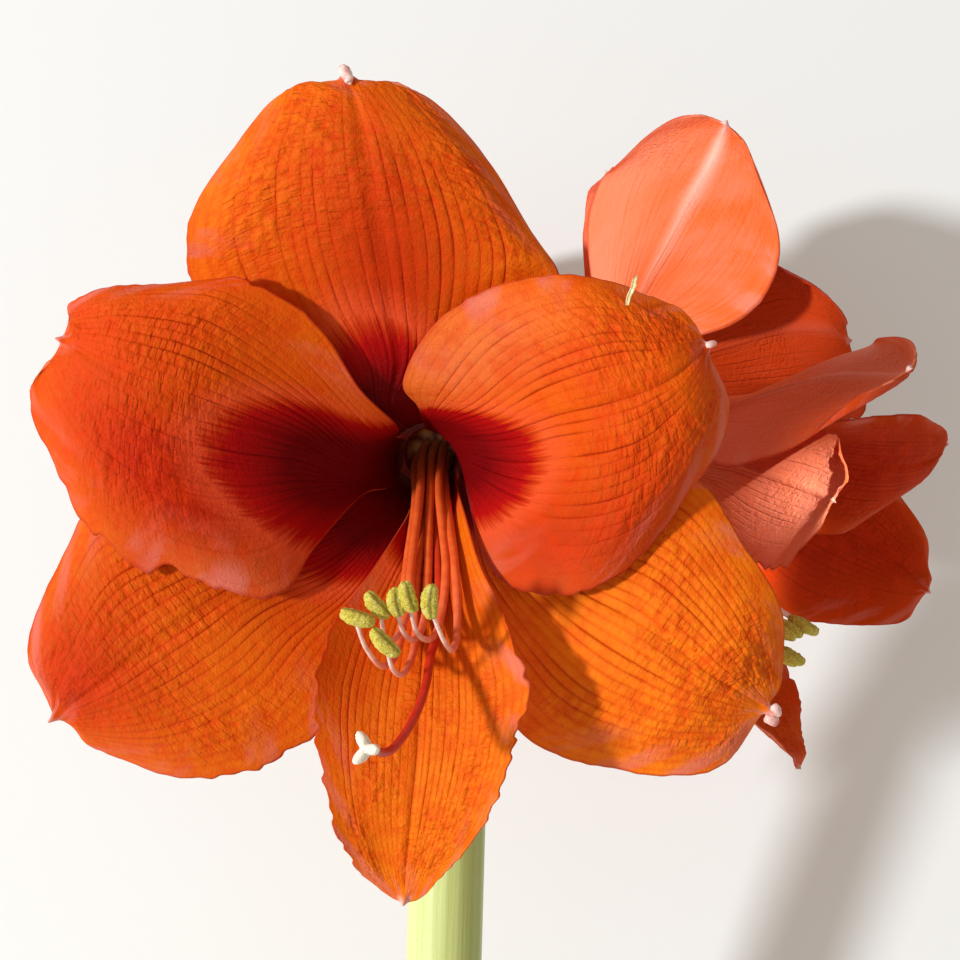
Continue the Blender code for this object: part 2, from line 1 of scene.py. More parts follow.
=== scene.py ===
"""The looks of a cut amaryllis stem with three open blooms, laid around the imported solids.

The shapes repeat the formulas that the solids were made with, at a finer grid and with the relief of the real
flower. Lengths are in millimetres until a mesh is made. A bloom's own frame has x to the right of someone who
faces it, y up and z out of its mouth, with the origin in its throat.
"""
import functools
import itertools
import math

import bpy
import numpy as np
from mathutils import Euler, Matrix, Vector


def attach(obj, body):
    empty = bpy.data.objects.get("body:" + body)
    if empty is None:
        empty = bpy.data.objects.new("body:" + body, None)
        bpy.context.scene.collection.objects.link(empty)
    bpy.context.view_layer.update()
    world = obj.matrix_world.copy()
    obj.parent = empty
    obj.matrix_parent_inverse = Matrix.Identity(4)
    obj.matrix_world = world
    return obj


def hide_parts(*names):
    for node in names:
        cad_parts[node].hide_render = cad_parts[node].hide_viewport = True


MM = 0.001
GAP = 0.32

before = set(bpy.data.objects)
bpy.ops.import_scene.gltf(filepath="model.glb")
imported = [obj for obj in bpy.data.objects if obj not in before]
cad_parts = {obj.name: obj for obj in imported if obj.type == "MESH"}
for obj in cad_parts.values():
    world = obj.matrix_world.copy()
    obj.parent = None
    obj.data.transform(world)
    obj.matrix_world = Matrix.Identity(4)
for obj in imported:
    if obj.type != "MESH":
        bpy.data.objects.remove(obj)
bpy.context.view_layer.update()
scene = bpy.context.scene

# Grids: rings and sides of a closed body, rows and columns of a sheet. BLOOMS has those of the tepals.
SCAPE_GRID = (110, 72)
STALK_RINGS, OVARY_RINGS, CUP_RINGS, TUBE_SIDES = 14, 46, 18, 60
SPATHE_GRID = (60, 40)
SLIVER_GRID = (30, 8)
KNOB_GRID = (26, 30)
STYLE_GRID = (90, 24)
STIGMA_GRID = (40, 72)
ANTHER_GRID = (44, 40)
THREAD_GRID = (70, 20)
SIMPLE_THREAD_GRID = (48, 14)

# The stem lies down. The camera keeps the place that it has in front of the upright stem.
LAID_TURN = (-72.329, -3.531, -1.124)
LAID_SHIFT = Vector((-9.12, 129.69, 136.23))
LAID = Matrix.Translation(LAID_SHIFT * MM) @ Euler([math.radians(angle) for angle in LAID_TURN]).to_matrix().to_4x4()
CAMERA_DISTANCE = 0.62
CAMERA_LENS = 77.96
CAMERA_SENSOR = 36.0
CAMERA_CLIP = 0.01

# Lights, in metres: what each is aimed at in the frame of the upright stem, and where it stands from there.
KEY_AIM = Vector((0, -0.06, 0))
KEY_PLACE = Vector((-3.31, -2.59, 0.10))
KEY_SIZE = 0.42
KEY_POWER = 186.0
KEY_COLOUR = (0.93, 0.97, 1.0)
ACCENT_AIM = Vector((0.093, -0.073, -0.003))
ACCENT_PLACE = Vector((0.22, -0.86, 0.26))
ACCENT_CONE = math.radians(2.1)
ACCENT_SOFT_EDGE = 0.7
ACCENT_LAMP_RADIUS = 0.01
ACCENT_POWER = 110.0
FILL_COLOUR = (1.0, 0.94, 0.84)
FILL_STRENGTH = 0.52
FLOOR_SIZE = 8.0
FLOOR_TINTS = ((0.885, 0.893, 0.893), (0.895, 0.903, 0.904))

# Scape.
SCAPE_TOP = Vector((-7.6, 0.0, -42.0))
SCAPE_LENGTH = 365.0
SCAPE_LEAN = math.radians(1.8)
SCAPE_TOP_RADIUS = 11.0
SCAPE_THIRD_RADIUS = 11.2
SCAPE_CUT_RADIUS = 12.4
SCAPE_BORE = 7.4
SCAPE_BORE_DEPTH = 20.0

# Spathe valves: which way each hangs, and how long it is.
SPATHE_VALVES = {"spathe_valve_left": (math.radians(167), 52.0), "spathe_valve_right": (math.radians(38), 34.0)}
SPATHE_HALF_TURN = math.radians(62)

# Tubes: distances behind the throat along the flower stalk, with the radius there.
TUBE_RIM_OUTER = 11.0
TUBE_RIM_INNER = 7.3
CUP_DEPTH = 9.0
CUP = ((0.1, 10.4), (0.15, 8.6), (GAP, TUBE_RIM_INNER), (5.0, 6.4), (CUP_DEPTH, 5.6), (CUP_DEPTH, 0.0))
OVARY_END = 42.0
OVARY_MIDDLE = 30.5
OVARY_SPREAD = 5.0
OVARY_LOBE = 0.07
TUBE_OUTSIDE = ((OVARY_END, 4.3), (38.0, 5.4), (33.5, 7.3), (29.0, 7.8), (24.0, 6.9), (19.0, 6.1), (13.0, 6.9),
                (6.0, 9.2), (GAP, TUBE_RIM_OUTER))
TUBE_STRAIGHT = 19.0
STALK_RADIUS = 4.5
STALK_PULL = 0.4
PATH_STEPS = 60

# Tepals: how far the tip reaches beyond the rails, and three rails from the tube to the tip, along one edge, the
# midrib and the other edge.
EDGE_POWER = 2.3
RUFFLE = 1.1
RUFFLE_WAVES = 3.5
TIP_LAST_PART = 0.97
TEPALS = {
    "upper_right": (1.5, (
        ((1.5, 8, 0), (1.5, 10.5, 14), (2, 19.5, 29), (0.5, 28.5, 41), (10, 44, 51), (25, 54, 58), (41, 57, 59),
         (57, 53.5, 57), (69, 49.5, 57), (75, 43, 58)),
        ((5, 7, 0), (6.5, 8, 14), (12.5, 11, 30), (27, 15, 46), (40.5, 21.5, 57), (52, 26, 64), (61, 29.5, 66),
         (68.5, 33, 65), (73, 36.5, 62), (76, 39.5, 58)),
        ((7.5, 4, 0), (10.5, 2, 14), (14.5, -5.5, 29), (19.5, -16.5, 42), (28.5, -22.5, 51), (45, -20.5, 57.5),
         (61, -11.5, 58.5), (75, 8.5, 56.5), (81, 24.5, 54), (77.5, 36, 57)))),
    "upper_left": (1.0, (
        ((-8, -3, 0), (-9, -5.5, 14), (-14, -4.5, 28), (-24, -14.5, 43), (-31, -23.5, 51), (-48, -21.5, 57.5),
         (-66, -12.5, 59), (-81.5, 1, 57), (-93.5, 26, 52), (-86, 40, 53)),
        ((-8, 1, 0), (-10.5, 1.5, 14), (-16.5, 4, 30), (-25.5, 15, 46), (-38, 23, 57), (-49.5, 29.5, 64),
         (-60, 34, 66), (-70, 38, 64), (-77.5, 41, 59), (-83.5, 43, 54)),
        ((-7, 4.5, 0), (-7, 8, 14), (-4, 14.5, 28), (-10, 26.5, 42.5), (-17.5, 44.5, 54.5), (-30.5, 55.5, 59.5),
         (-46.5, 57.5, 60), (-63.5, 55.5, 58.5), (-78.5, 50.5, 55), (-82.5, 46.5, 54)))),
    "bottom": (0.6, (
        ((6.5, -5, 0), (9, -5, 14), (13.5, -7, 33), (19.5, -17, 49), (27.5, -27, 62), (32, -39.5, 71),
         (31, -51.5, 76), (25.5, -68.5, 79), (15, -83, 79), (5.5, -95.5, 76)),
        ((3.5, -7.5, 0), (4, -9.5, 14), (5, -16, 30), (5.5, -24, 46), (6, -35.5, 57), (6, -48, 66),
         (5.5, -61.5, 72), (4, -74, 75), (2.5, -86, 76), (1.5, -95.5, 76)),
        ((-0.5, -8.5, 0), (-3, -10, 14), (-2.5, -10.5, 31), (-9.5, -20.5, 46), (-16.5, -29.5, 60),
         (-19.5, -40.5, 70), (-18.5, -55.5, 75), (-15.5, -72.5, 78), (-10, -85.5, 78), (-2, -95, 76)))),
    "top": (3.4, (
        ((-8, 6, 0), (-11, 6, 14), (-14, 14.5, 29), (-21.5, 25, 38), (-38.5, 38, 45), (-48.5, 52, 50),
         (-49.5, 65, 53), (-41, 81, 55), (-26.5, 98.5, 55), (-13.5, 104.5, 55)),
        ((-4, 9, 0), (-4.5, 11.5, 14), (-5, 20.5, 30), (0, 34.5, 43), (0, 51, 53), (-0.5, 66.5, 59.5),
         (-1.5, 80.5, 64), (-3, 92.5, 64), (-5, 100, 61), (-7, 104, 57)),
        ((0.5, 10, 0), (3.5, 12, 14), (5.5, 21.5, 29), (23, 27.5, 38), (36.5, 39.5, 45), (41.5, 52.5, 50),
         (37, 64.5, 53), (28, 79, 55), (11.5, 98, 56), (-1.5, 104.5, 56)))),
    "lower_left": (2.6, (
        ((-1, -10, 0), (0.5, -12.5, 14), (-3, -18, 28), (-7.5, -27.5, 40), (-15, -45, 47), (-23.5, -61.5, 51),
         (-38.5, -69.5, 53), (-60.5, -73, 53), (-82, -67, 53), (-89.5, -60, 53)),
        ((-5.5, -8, 0), (-7.5, -10, 14), (-13, -13.5, 30), (-24, -19.5, 40.5), (-41.5, -23, 50.5),
         (-53.5, -29.5, 56.5), (-64.5, -36.5, 59.5), (-74.5, -44, 61), (-85, -51.5, 58), (-92.5, -57, 54)),
        ((-9, -4.5, 0), (-12, -3, 14), (-18.5, -2.5, 28), (-35.5, 3.5, 38), (-55, 4.5, 44), (-72.5, 1.5, 48),
         (-82, -3, 50), (-92, -22, 51), (-98.5, -42, 52), (-95, -54.5, 53)))),
    "lower_right": (2.4, (
        ((9, 4, 0), (10.5, 7, 14), (18, 6.5, 28), (39, 7.5, 38), (58, 8.5, 45), (74, 5.5, 50), (85, -10.5, 53),
         (93.5, -27.5, 55), (94.5, -42, 55), (92, -49, 55)),
        ((10, -1, 0), (12.5, -1.5, 14), (18.5, -4.5, 30), (29, -11, 43), (44.5, -20.5, 52), (57, -26.5, 57),
         (67.5, -33, 60.5), (76.5, -39.5, 63), (84, -45.5, 60), (90, -51, 56)),
        ((8, -5.5, 0), (8.5, -9, 14), (11.5, -15, 28), (11, -32, 38), (19.5, -48, 46), (31, -61.5, 51),
         (46.5, -68, 54), (62.5, -69.5, 55), (79.5, -66, 55), (88, -55, 55)))),
}

# Dark throat patch of each tepal, the flower's own crimson and partly painted shade of the deep throat: how far it
# reaches along and across, and how far its middle is off the midrib.
PATCHES = {"upper_right": (0.39, 0.78, 0.2), "upper_left": (0.49, 0.68, -0.26), "bottom": (0.29, 1.2, 0.6),
           "top": (0.40, 0.95, -0.25), "lower_left": (0.36, 1.3, 0.2), "lower_right": (0.30, 0.9, 0.0)}

# Colour zones of the tepals: place along and across, half size along and across, and amount. A positive amount is a
# deeper red, partly the tepal's own and partly painted shade; a negative one a paler, dusty salmon, partly its own
# and partly painted light.
ZONES = {
    "front": {
        "upper_left": ((0.6, -0.5, 0.2, 0.4, 0.75), (0.3, -0.6, 0.2, 0.5, 0.6), (0.55, 0.1, 0.5, 1.2, 0.35),
                       (0.5, -0.97, 0.16, 0.3, -0.5), (0.85, 0.1, 0.2, 1.0, 0.15)),
        "upper_right": ((0.5, 0.8, 0.4, 0.45, 0.75), (0.98, 0.0, 0.07, 0.5, 0.7), (0.62, 0.95, 0.2, 0.2, -0.3),
                        (0.5, 0.1, 0.35, 0.6, 0.25), (0.42, -0.75, 0.16, 0.35, -0.45)),
        "top": ((0.62, 0.05, 0.35, 0.45, 0.6), (0.4, -0.1, 0.25, 0.8, 0.45)),
        "lower_left": ((0.86, 0.2, 0.24, 1.0, 0.9), (0.2, 0.0, 0.24, 1.6, 1.0)),
        "lower_right": ((0.2, 0.0, 0.16, 1.2, 0.3),),
        "bottom": ((0.3, 0.0, 0.3, 1.2, 0.5), (0.55, 0.9, 0.3, 0.5, 0.4)),
    },
    # The right bloom is deep red mostly as painted shade; the pale zone on its upper left tepal is painted light.
    "right": {
        "top": ((0.35, -0.3, 0.9, 2.0, 1.0), (1.0, 0.0, 0.16, 1.2, -0.75)),
        "upper_left": ((0.2, 0.0, 0.2, 1.4, 0.4), (0.8, 0.0, 0.4, 1.4, -0.7)),
        "upper_right": ((0.4, 0.0, 0.9, 1.6, 1.0),),
        "lower_right": ((0.4, 0.0, 0.9, 1.6, 1.0),),
        "bottom": ((0.4, 0.0, 0.8, 1.6, 0.5),),
        "lower_left": ((0.4, 0.0, 0.8, 1.6, 0.3),),
    },
    "back": {
        "upper_left": ((0.5, 0.0, 2.0, 3.0, 0.95),),
        "top": ((0.55, 0.8, 0.5, 0.5, -0.4), (0.12, 0.0, 0.22, 0.45, 0.8)),
    },
}

# How golden the inside of a tepal is, and how strong the pale band is along its outside.
LEVELS = {
    "front": {"top": (0.35, 0.3), "upper_right": (0.05, 0.3), "lower_right": (0.65, 0.3), "bottom": (0.75, 0.3),
              "lower_left": (0.4, 0.3)},
    "back": {"top": (0.0, 0.8), "upper_left": (0.0, 0.05)},
    "right": {"top": (0.0, 0.1), "upper_left": (0.0, 0.0)},
}
PLAIN_LEVEL = (0.0, 0.35)

# Margin of each tepal, in millimetres: how far its two shoulders stand out beside the tip, how deep it is notched,
# how far its scallops swing, and how far its tip is pulled in.
MARGINS = {"top": (4.5, 0.15, 0.4, 1.5), "upper_left": (3.8, 0.9, 1.8, 3.0), "upper_right": (1.0, 0.4, 0.5, 0.0),
           "lower_left": (2.0, 0.7, 0.9, 1.5), "lower_right": (1.0, 0.2, 0.6, 0.0), "bottom": (0.3, 1.5, 1.0, 0.0)}
NOTCH_SPACING = 1.7
SCALLOP_SPACING = 6.0
CORNER_ROUNDING = 0.022
SHOULDER_SIDE = 0.62
SHOULDER_WIDTH = 0.34

# Tips on the front bloom: the paint's strength where it isn't full, and the swollen pale ends. Of each end, the place
# sideways, outwards and forwards of the tepal's end, the direction that it points in, its half length and its radius.
PALE_TIPS = {"upper_left": 0.35, "lower_left": 0.35, "bottom": 0.6}
TIP_KNOBS = {
    "top": [((0.0, -1.9, 0.7), (0.05, -1.0, 0.45), 3.4, 1.35)],
    "upper_right": [((0.0, -0.6, 0.4), (0.3, 1.0, 0.3), 1.4, 0.85)],
    "lower_right": [((-1.3, -0.4, 0.5), (0.4, 1.0, 0.4), 1.7, 1.3), ((1.3, 0.4, 0.5), (-0.2, 1.0, 0.4), 1.9, 1.4)],
}

# A dry sliver stuck to the upper right tepal, in the frame of the upright stem.
SLIVER = [(34.2, -136.6, 40.6), (34.6, -137.0, 42.6), (35.6, -136.6, 44.8), (36.0, -136.0, 46.6),
          (36.6, -135.2, 47.6)]
SLIVER_ACROSS = (0.94, -0.34, 0.0)
SLIVER_HALF_WIDTH = 0.55

# Stamens. Of each one, the filament's course, the two ends of its anther, and where along the anther it joins.
FILAMENT_BASE_RADIUS = 1.15
FILAMENT_TIP_RADIUS = 0.5
FILAMENT_TAPER_START = 0.4
ANTHER_RADIUS = 2.0
ANTHER_FURROW = 1.2
ANTHER_GRAIN = 0.2
STAMENS = [
    ([(-3.6, -1.2, -8.6), (-4, -2.8, 2), (-0.6, -7.9, 24), (-0.2, -21.3, 46), (0.5, -33.5, 62),
      (-1.5, -35.5, 73), (-4, -28.5, 81)], ((-9, -18, 86), (-1, -20.5, 86)), 0.0),
    ([(-1.9, 1.6, -8.6), (-2, 0.2, 2), (0.6, -6, 24), (1.5, -18.2, 46), (2.5, -25.5, 59),
      (1, -29.5, 69), (-0.5, -27, 76)], ((-3.5, -14.5, 82), (1.5, -20.5, 82)), 0.6),
    ([(-1.6, -3.4, -8.6), (-1.6, -4.8, 2), (1.9, -10.6, 24), (2.7, -21.5, 46), (4.5, -32.5, 62),
      (3.5, -37, 73), (2, -34, 80)], ((-2, -22.5, 85), (4, -29, 85)), 0.4),
    ([(0.6, 1.4, -8.6), (0.8, -0.1, 2), (3.3, -7.6, 24), (5.6, -20.6, 46), (6.5, -28, 60),
      (5.5, -30, 69), (4, -25.5, 76)], ((3, -13, 82), (4, -20, 82)), 0.6),
    ([(3.1, 1.6, -8.6), (3.5, 0.2, 2), (5.9, -4.9, 24), (10.3, -18.4, 46), (10.5, -28, 60),
      (9.5, -29.5, 70), (7.5, -25.5, 77)], ((5.5, -11.5, 82), (7.5, -19, 82)), 0.7),
    ([(3.6, -1.6, -8.6), (4, -3, 2), (7.7, -6.8, 24), (12.6, -17.2, 46), (15, -28.5, 61),
      (15, -32, 70), (14, -27.5, 77)], ((12, -12, 82), (11.5, -20.5, 82)), 0.75),
]
BUNDLE = [(0, 0, -8.6), (0.5, -2, 2), (3.5, -8.5, 24), (5.5, -20, 46), (6.5, -29.5, 60), (6, -34, 75),
          (5, -38, 104)]
BUNDLE_FREE = (0.0, 28.0)
SIMPLE_STAMEN_END = (0, -2, 12)
SIMPLE_ANTHER_LENGTH = 8.4
STYLE = [(0.9, -1.6, -8.6), (1.1, -3.2, 2), (4.8, -10.2, 24), (8.4, -21, 46), (9.4, -31, 59), (9, -35, 68),
         (9, -39.5, 77), (7.5, -44, 86), (5, -47, 94), (3, -47.5, 99), (0.5, -45, 104)]
STYLE_RADIUS = 1.2
STIGMA_LOBE = 4.2
STIGMA_CORE = 1.5
STIGMA_HALF = 1.7

# Blooms: throat and mouth direction, in the frame of the upright stem, and the clockwise roll in degrees.
# Each tepal has its openness (1 is fully open), its turn about the bloom's axis in degrees, its width and
# by how many degrees its middle arches outwards.
FULLY_OPEN = (1.0, 0.0, 1.0, 0.0)
BLOOMS = {
    "front": {
        "throat": (-13.5, -55.0, 6.9), "axis": (-0.128, -0.962, -0.24), "roll": 0.0, "scale": 1.0,
        "grid": (170, 140), "relief": 1.0,
        "stalk_foot": (-1.5, -5.2), "heart": (1.0, 0.0), "style_reach": 1.0, "tepals": {}},
    "right": {
        "throat": (40.7, -5.8, 16.6), "axis": (0.787, -0.476, -0.392), "roll": -14.8, "scale": 0.93,
        "grid": (80, 44), "relief": 0.6,
        "stalk_foot": (5.2, 1.5), "heart": (1.05, -50.0), "style_reach": 0.66,
        "tepals": {"top": (0.536, 17.3, 1.02, 9.6), "lower_right": (0.564, -0.7, 0.87, 16.1),
                   "upper_right": (0.533, -7.3, 1.0, -3.1), "upper_left": (0.418, -3.8, 0.95, 3.3),
                   "bottom": (0.68, -16.8, 0.83, 18.2), "lower_left": (0.85, -12.0, 0.9, 8.0)}},
    "back": {
        "throat": (22.9, 60.0, 20.4), "axis": (0.752, 0.458, 0.475), "roll": -37.0, "scale": 0.93,
        "grid": (80, 44), "relief": 0.6,
        "stalk_foot": (-2.5, 5.2), "heart": (0.6, 0.0), "style_reach": 1.0,
        "tepals": {"top": (0.861, 0.6, 0.94, 3.8), "lower_right": (1.25, 14.0, 1.0, 0.0),
                   "upper_right": (0.603, 4.8, 0.98, 10.0), "upper_left": (0.817, -2.3, 1.11, -1.5),
                   "bottom": (0.742, 0.0, 1.0, 0.0), "lower_left": (0.884, 0.0, 1.0, 0.0)}},
}
HINGE_RADIUS = 8.0
HINGE_DEPTH = 5.0
HINGE_REACH = (8.0, 40.0)
ARCH_REACH = 110.0
TURN_REACH = (10.0, 50.0)

# Relief of a tepal, in millimetres.
TEPAL_LENGTH = 118.0
TEPAL_HALF_WIDTH = 36.0
VEINS = 14
VEIN_DEPTH = 0.36
WRINKLE_HEIGHT = 0.32
WRINKLE_SPACING = 2.3
FOLD_HEIGHT = 0.6
CHANNEL_DEPTH = 0.8
MIDRIB_WIDTH = 0.05
TIP_HOOK = 1.1


def add_camera():
    camera = bpy.data.objects.new("camera", bpy.data.cameras.new("camera"))
    camera.data.lens = CAMERA_LENS
    camera.data.sensor_width = CAMERA_SENSOR
    camera.data.clip_start = CAMERA_CLIP
    upright = Matrix.Rotation(math.radians(90), 4, "X")
    camera.matrix_world = LAID @ Matrix.Translation((0, -CAMERA_DISTANCE, 0)) @ upright
    scene.collection.objects.link(camera)
    scene.camera = camera


# Formulas shared with the solids.

def unit(vectors):
    return vectors / np.maximum(np.linalg.norm(vectors, axis=-1, keepdims=True), 1e-9)


def spline(points, along):
    """Points on the smooth curve through the given points, for positions from 0 to 1."""
    points = np.asarray(points, float)
    last = len(points) - 1
    position = np.clip(np.asarray(along, float), 0, 1) * last
    index = np.minimum(position.astype(int), last - 1)
    f = (position - index)[..., None]
    padded = np.vstack([2 * points[0] - points[1], points, 2 * points[-1] - points[-2]])
    a, b, c, d = (padded[index + step] for step in range(4))
    return 0.5 * (2 * b + (c - a) * f + (2 * a - 5 * b + 4 * c - d) * f**2 + (3 * (b - c) + d - a) * f**3)


def smoothstep(value, low, high):
    x = np.clip((value - low) / (high - low), 0, 1)
    return x * x * (3 - 2 * x)


def between(place, places, points):
    """Points at given places, in straight steps from one known point to the next."""
    return np.stack([np.interp(place, places, points[:, axis]) for axis in range(3)], axis=-1)


def bell(value, width):
    return np.exp(-(value / width) ** 2)


def tepal_sheet(rails, along, across, width):
    """The tepal's middle surface: across runs from -1 at its first edge to 1 at its last."""
    start, midrib, end = (spline(rail, along) for rail in rails)
    side = across[:, None]
    bulge = (start + end) / 2 - midrib
    spread = 1 + (width - 1) * smoothstep(along, 0.1, 0.45)[:, None]
    return midrib + spread * ((end - start) / 2 * side + bulge * np.abs(side) ** EDGE_POWER)


def tip_heading(rails):
    """The direction in which a tepal's midrib ends."""
    before, last = spline(rails[1], np.array([TIP_LAST_PART, 1.0]))
    return unit(last - before)


def tepal_points(tip, rails, along, across, width):
    """The sheet with its waved edges and its pointed tip."""
    step = 0.01
    points = tepal_sheet(rails, along, across, width)
    forward = tepal_sheet(rails, along + step, across, width) - tepal_sheet(rails, along - step, across, width)
    sideways = tepal_sheet(rails, along, across + step, width) - tepal_sheet(rails, along, across - step, width)
    waves = np.sin(2 * math.pi * RUFFLE_WAVES * along + 2.0 * np.sign(across))
    growth = smoothstep(along, 0.3, 0.6) * smoothstep(1 - along, 0.0, 0.15)
    points += unit(np.cross(sideways, forward)) * (RUFFLE * np.abs(across) ** 3 * waves * growth)[:, None]
    reach = tip * smoothstep(along, 0.9, 1.0) * bell(across, 0.3)
    return points + reach[:, None] * tip_heading(rails)


def fold_inwards(points, openness, turn, arch=0.0):
    """Closes an open bloom: a point swings about a ring in the throat, and turns about the bloom's axis."""
    radius = np.maximum(np.hypot(points[:, 0], points[:, 1]), 1e-6)
    outward = radius - HINGE_RADIUS
    forward = points[:, 2] - HINGE_DEPTH
    reach = np.hypot(outward, forward)
    swing = np.arctan2(outward, forward) * (1 + (openness - 1) * smoothstep(reach, *HINGE_REACH))
    swing += math.radians(arch) * np.sin(math.pi * np.clip(reach / ARCH_REACH, 0, 1))
    folded_radius = HINGE_RADIUS + reach * np.sin(swing)
    depth = HINGE_DEPTH + reach * np.cos(swing)
    turned_reach = np.hypot(folded_radius - HINGE_RADIUS, depth - HINGE_DEPTH)
    bearing = np.arctan2(points[:, 1], points[:, 0]) + math.radians(turn) * smoothstep(turned_reach, *TURN_REACH)
    return np.stack([folded_radius * np.cos(bearing), folded_radius * np.sin(bearing), depth], axis=1)


def in_heart(bloom, points):
    """Moves a filament or the style with the bundle they all lie in, which follows the closing bloom."""
    height = points[:, 2]
    middle = np.array(BUNDLE)
    bundle = between(height, middle[:, 2], middle)
    shift = fold_inwards(bundle, *bloom["heart"]) - bundle
    return points + shift * smoothstep(height, *BUNDLE_FREE)[:, None]


def bloom_matrix(bloom):
    axis = Vector(bloom["axis"]).normalized()
    up = (Vector((0, 0, 1)) - axis.z * axis).normalized()
    right = up.cross(axis)
    turned = Matrix((right, up, axis)).transposed().to_4x4()
    roll = Matrix.Rotation(math.radians(-bloom["roll"]), 4, "Z")
    return Matrix.Translation(Vector(bloom["throat"]) * MM) @ turned @ roll @ Matrix.Scale(bloom["scale"], 4)


# Meshes.

def circle(sides):
    return np.arange(sides) * 2 * math.pi / sides


def ball_grid(rings, sides):
    """Angles down a round body, a little short of its poles, and around it."""
    return np.linspace(0.02, math.pi - 0.02, rings)[:, None], circle(sides)[None]


def sheet_grid(rows, columns):
    """Coordinates along and across a sheet."""
    return np.meshgrid(np.linspace(0, 1, rows + 1), np.linspace(-1, 1, columns + 1), indexing="ij")


def about_axis(spread, height, turn):
    """Rings about the z axis."""
    return np.stack([spread * np.cos(turn), spread * np.sin(turn), height * np.ones_like(turn)], axis=-1)


def pointed_at(heading):
    """The rotation that takes the z axis to a direction, as a matrix for points in rows."""
    return np.array(Vector((0, 0, 1)).rotation_difference(Vector(heading)).to_matrix()).T


def lumps(*coordinates):
    """Smooth noise from -1 to 1, with one lattice cell to a unit."""
    points = np.stack(np.broadcast_arrays(*coordinates), axis=-1).astype(float)
    cell = np.floor(points)
    f = points - cell
    f = f * f * (3 - 2 * f)
    total = np.zeros(points.shape[:-1])
    for corner in itertools.product((0, 1), repeat=3):
        value = np.sin((cell + corner) @ (127.1, 311.7, 74.7)) * 43758.5453
        value = 2 * (value - np.floor(value)) - 1
        total += value * np.prod(np.where(np.array(corner), f, 1 - f), axis=-1)
    return total


def plain_paint(shape, first=0.0):
    """Four painted numbers for each point, all zero but the first."""
    paint = np.zeros((*shape, 4))
    paint[..., 0] = first
    return paint


def add_piece(name, node, material, points, faces, corner_uv, paints, matrix):
    """One visible piece, in the frame of the row, that stands for a node of the model.

    paints holds four numbers for each point, in the material's order, under the name of each set.
    """
    placed = np.asarray(points, float) * MM @ np.array(matrix.to_3x3()).T + np.array(matrix.translation)
    mesh = bpy.data.meshes.new(name)
    mesh.from_pydata(placed.tolist(), [], [list(map(int, face)) for face in faces])
    mesh.uv_layers.new(name="sheet").data.foreach_set("uv", np.asarray(corner_uv, np.float32).ravel())
    for key, paint in paints.items():
        colours = mesh.color_attributes.new(key, "FLOAT_COLOR", "POINT")
        colours.data.foreach_set("color", np.asarray(paint, np.float32).ravel())
    mesh.shade_smooth()
    mesh.materials.append(material)
    item = bpy.data.objects.new(name, mesh)
    scene.collection.objects.link(item)
    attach(item, "root")
    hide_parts(node)


def surface_normals(grid):
    return unit(np.cross(np.gradient(grid, axis=1), np.gradient(grid, axis=0)))


def add_sheet(name, node, material, middle, half, along, across, matrix, paints=None):
    """A sheet with two sides and a rim, half to each side of its middle; paints has a pair of grids, one a side."""
    columns = along.shape[1]
    index = np.arange(along.size).reshape(along.shape)
    first = index[:-1, :-1].ravel()
    front = np.stack([first, first + 1, first + columns + 1, first + columns], axis=1)
    border = np.concatenate([index[0, :-1], index[:-1, -1], index[-1, :0:-1], index[:0:-1, 0]])
    following = np.roll(border, -1)
    rim = np.stack([following, border, border + along.size, following + along.size], axis=1)
    faces = np.concatenate([front, front[:, ::-1] + along.size, rim])
    points = np.concatenate([(middle + half).reshape(-1, 3), (middle - half).reshape(-1, 3)])
    uv = np.tile(np.stack([across / 2 + 0.5, along], axis=-1).reshape(-1, 2), (2, 1))
    paints = paints or {"paint": [plain_paint(along.shape)] * 2}
    flat = {key: np.concatenate([side.reshape(-1, 4) for side in pair]) for key, pair in paints.items()}
    add_piece(name, node, material, points, faces, uv[faces.ravel()], flat, matrix)


def add_loft(name, node, material, rings, matrix, paint=None):
    """A closed body through rings of points, with its two ends closed; paint has one colour to a ring point."""
    count, sides = rings.shape[:2]
    paint = plain_paint((count, sides)) if paint is None else paint
    points = np.concatenate([rings.reshape(-1, 3), rings[0].mean(axis=0)[None], rings[-1].mean(axis=0)[None]])
    colours = np.concatenate([paint.reshape(-1, 4), paint[0].mean(axis=0)[None], paint[-1].mean(axis=0)[None]])
    faces, uv = [], []
    for ring, side in itertools.product(range(count - 1), range(sides)):
        a, b = ring * sides + side, ring * sides + (side + 1) % sides
        faces.append((a, b, b + sides, a + sides))
        low, high = ring / (count - 1), (ring + 1) / (count - 1)
        left, right = side / sides, (side + 1) / sides
        uv += [(left, low), (right, low), (right, high), (left, high)]
    last = (count - 1) * sides
    for side in range(sides):
        following = (side + 1) % sides
        faces += [(following, side, count * sides), (last + side, last + following, count * sides + 1)]
        uv += [(side / sides, 0.0)] * 3 + [(side / sides, 1.0)] * 3
    add_piece(name, node, material, points, faces, uv, {"paint": colours}, matrix)


def stalk_rings(line, radii, sides, wobble):
    """Round rings along a line, which don't twist; wobble is the share by which the radius varies."""
    tangents = unit(np.gradient(line, axis=0))
    side = np.cross(tangents[0], (0.3, 0.9, 0.2))
    across = []
    for tangent in tangents:
        side = unit(side - tangent * (side @ tangent))
        across.append(side)
    across = np.array(across)[:, None]
    over = np.cross(tangents, across[:, 0])[:, None]
    turn = circle(sides)
    station = np.arange(len(line))[:, None] * 0.35
    radius = radii[:, None] * (1 + wobble * lumps(station, 2 * np.cos(turn)[None], 2 * np.sin(turn)[None]))
    return line[:, None] + radius[..., None] * (np.cos(turn)[:, None] * across + np.sin(turn)[:, None] * over)


# Materials.

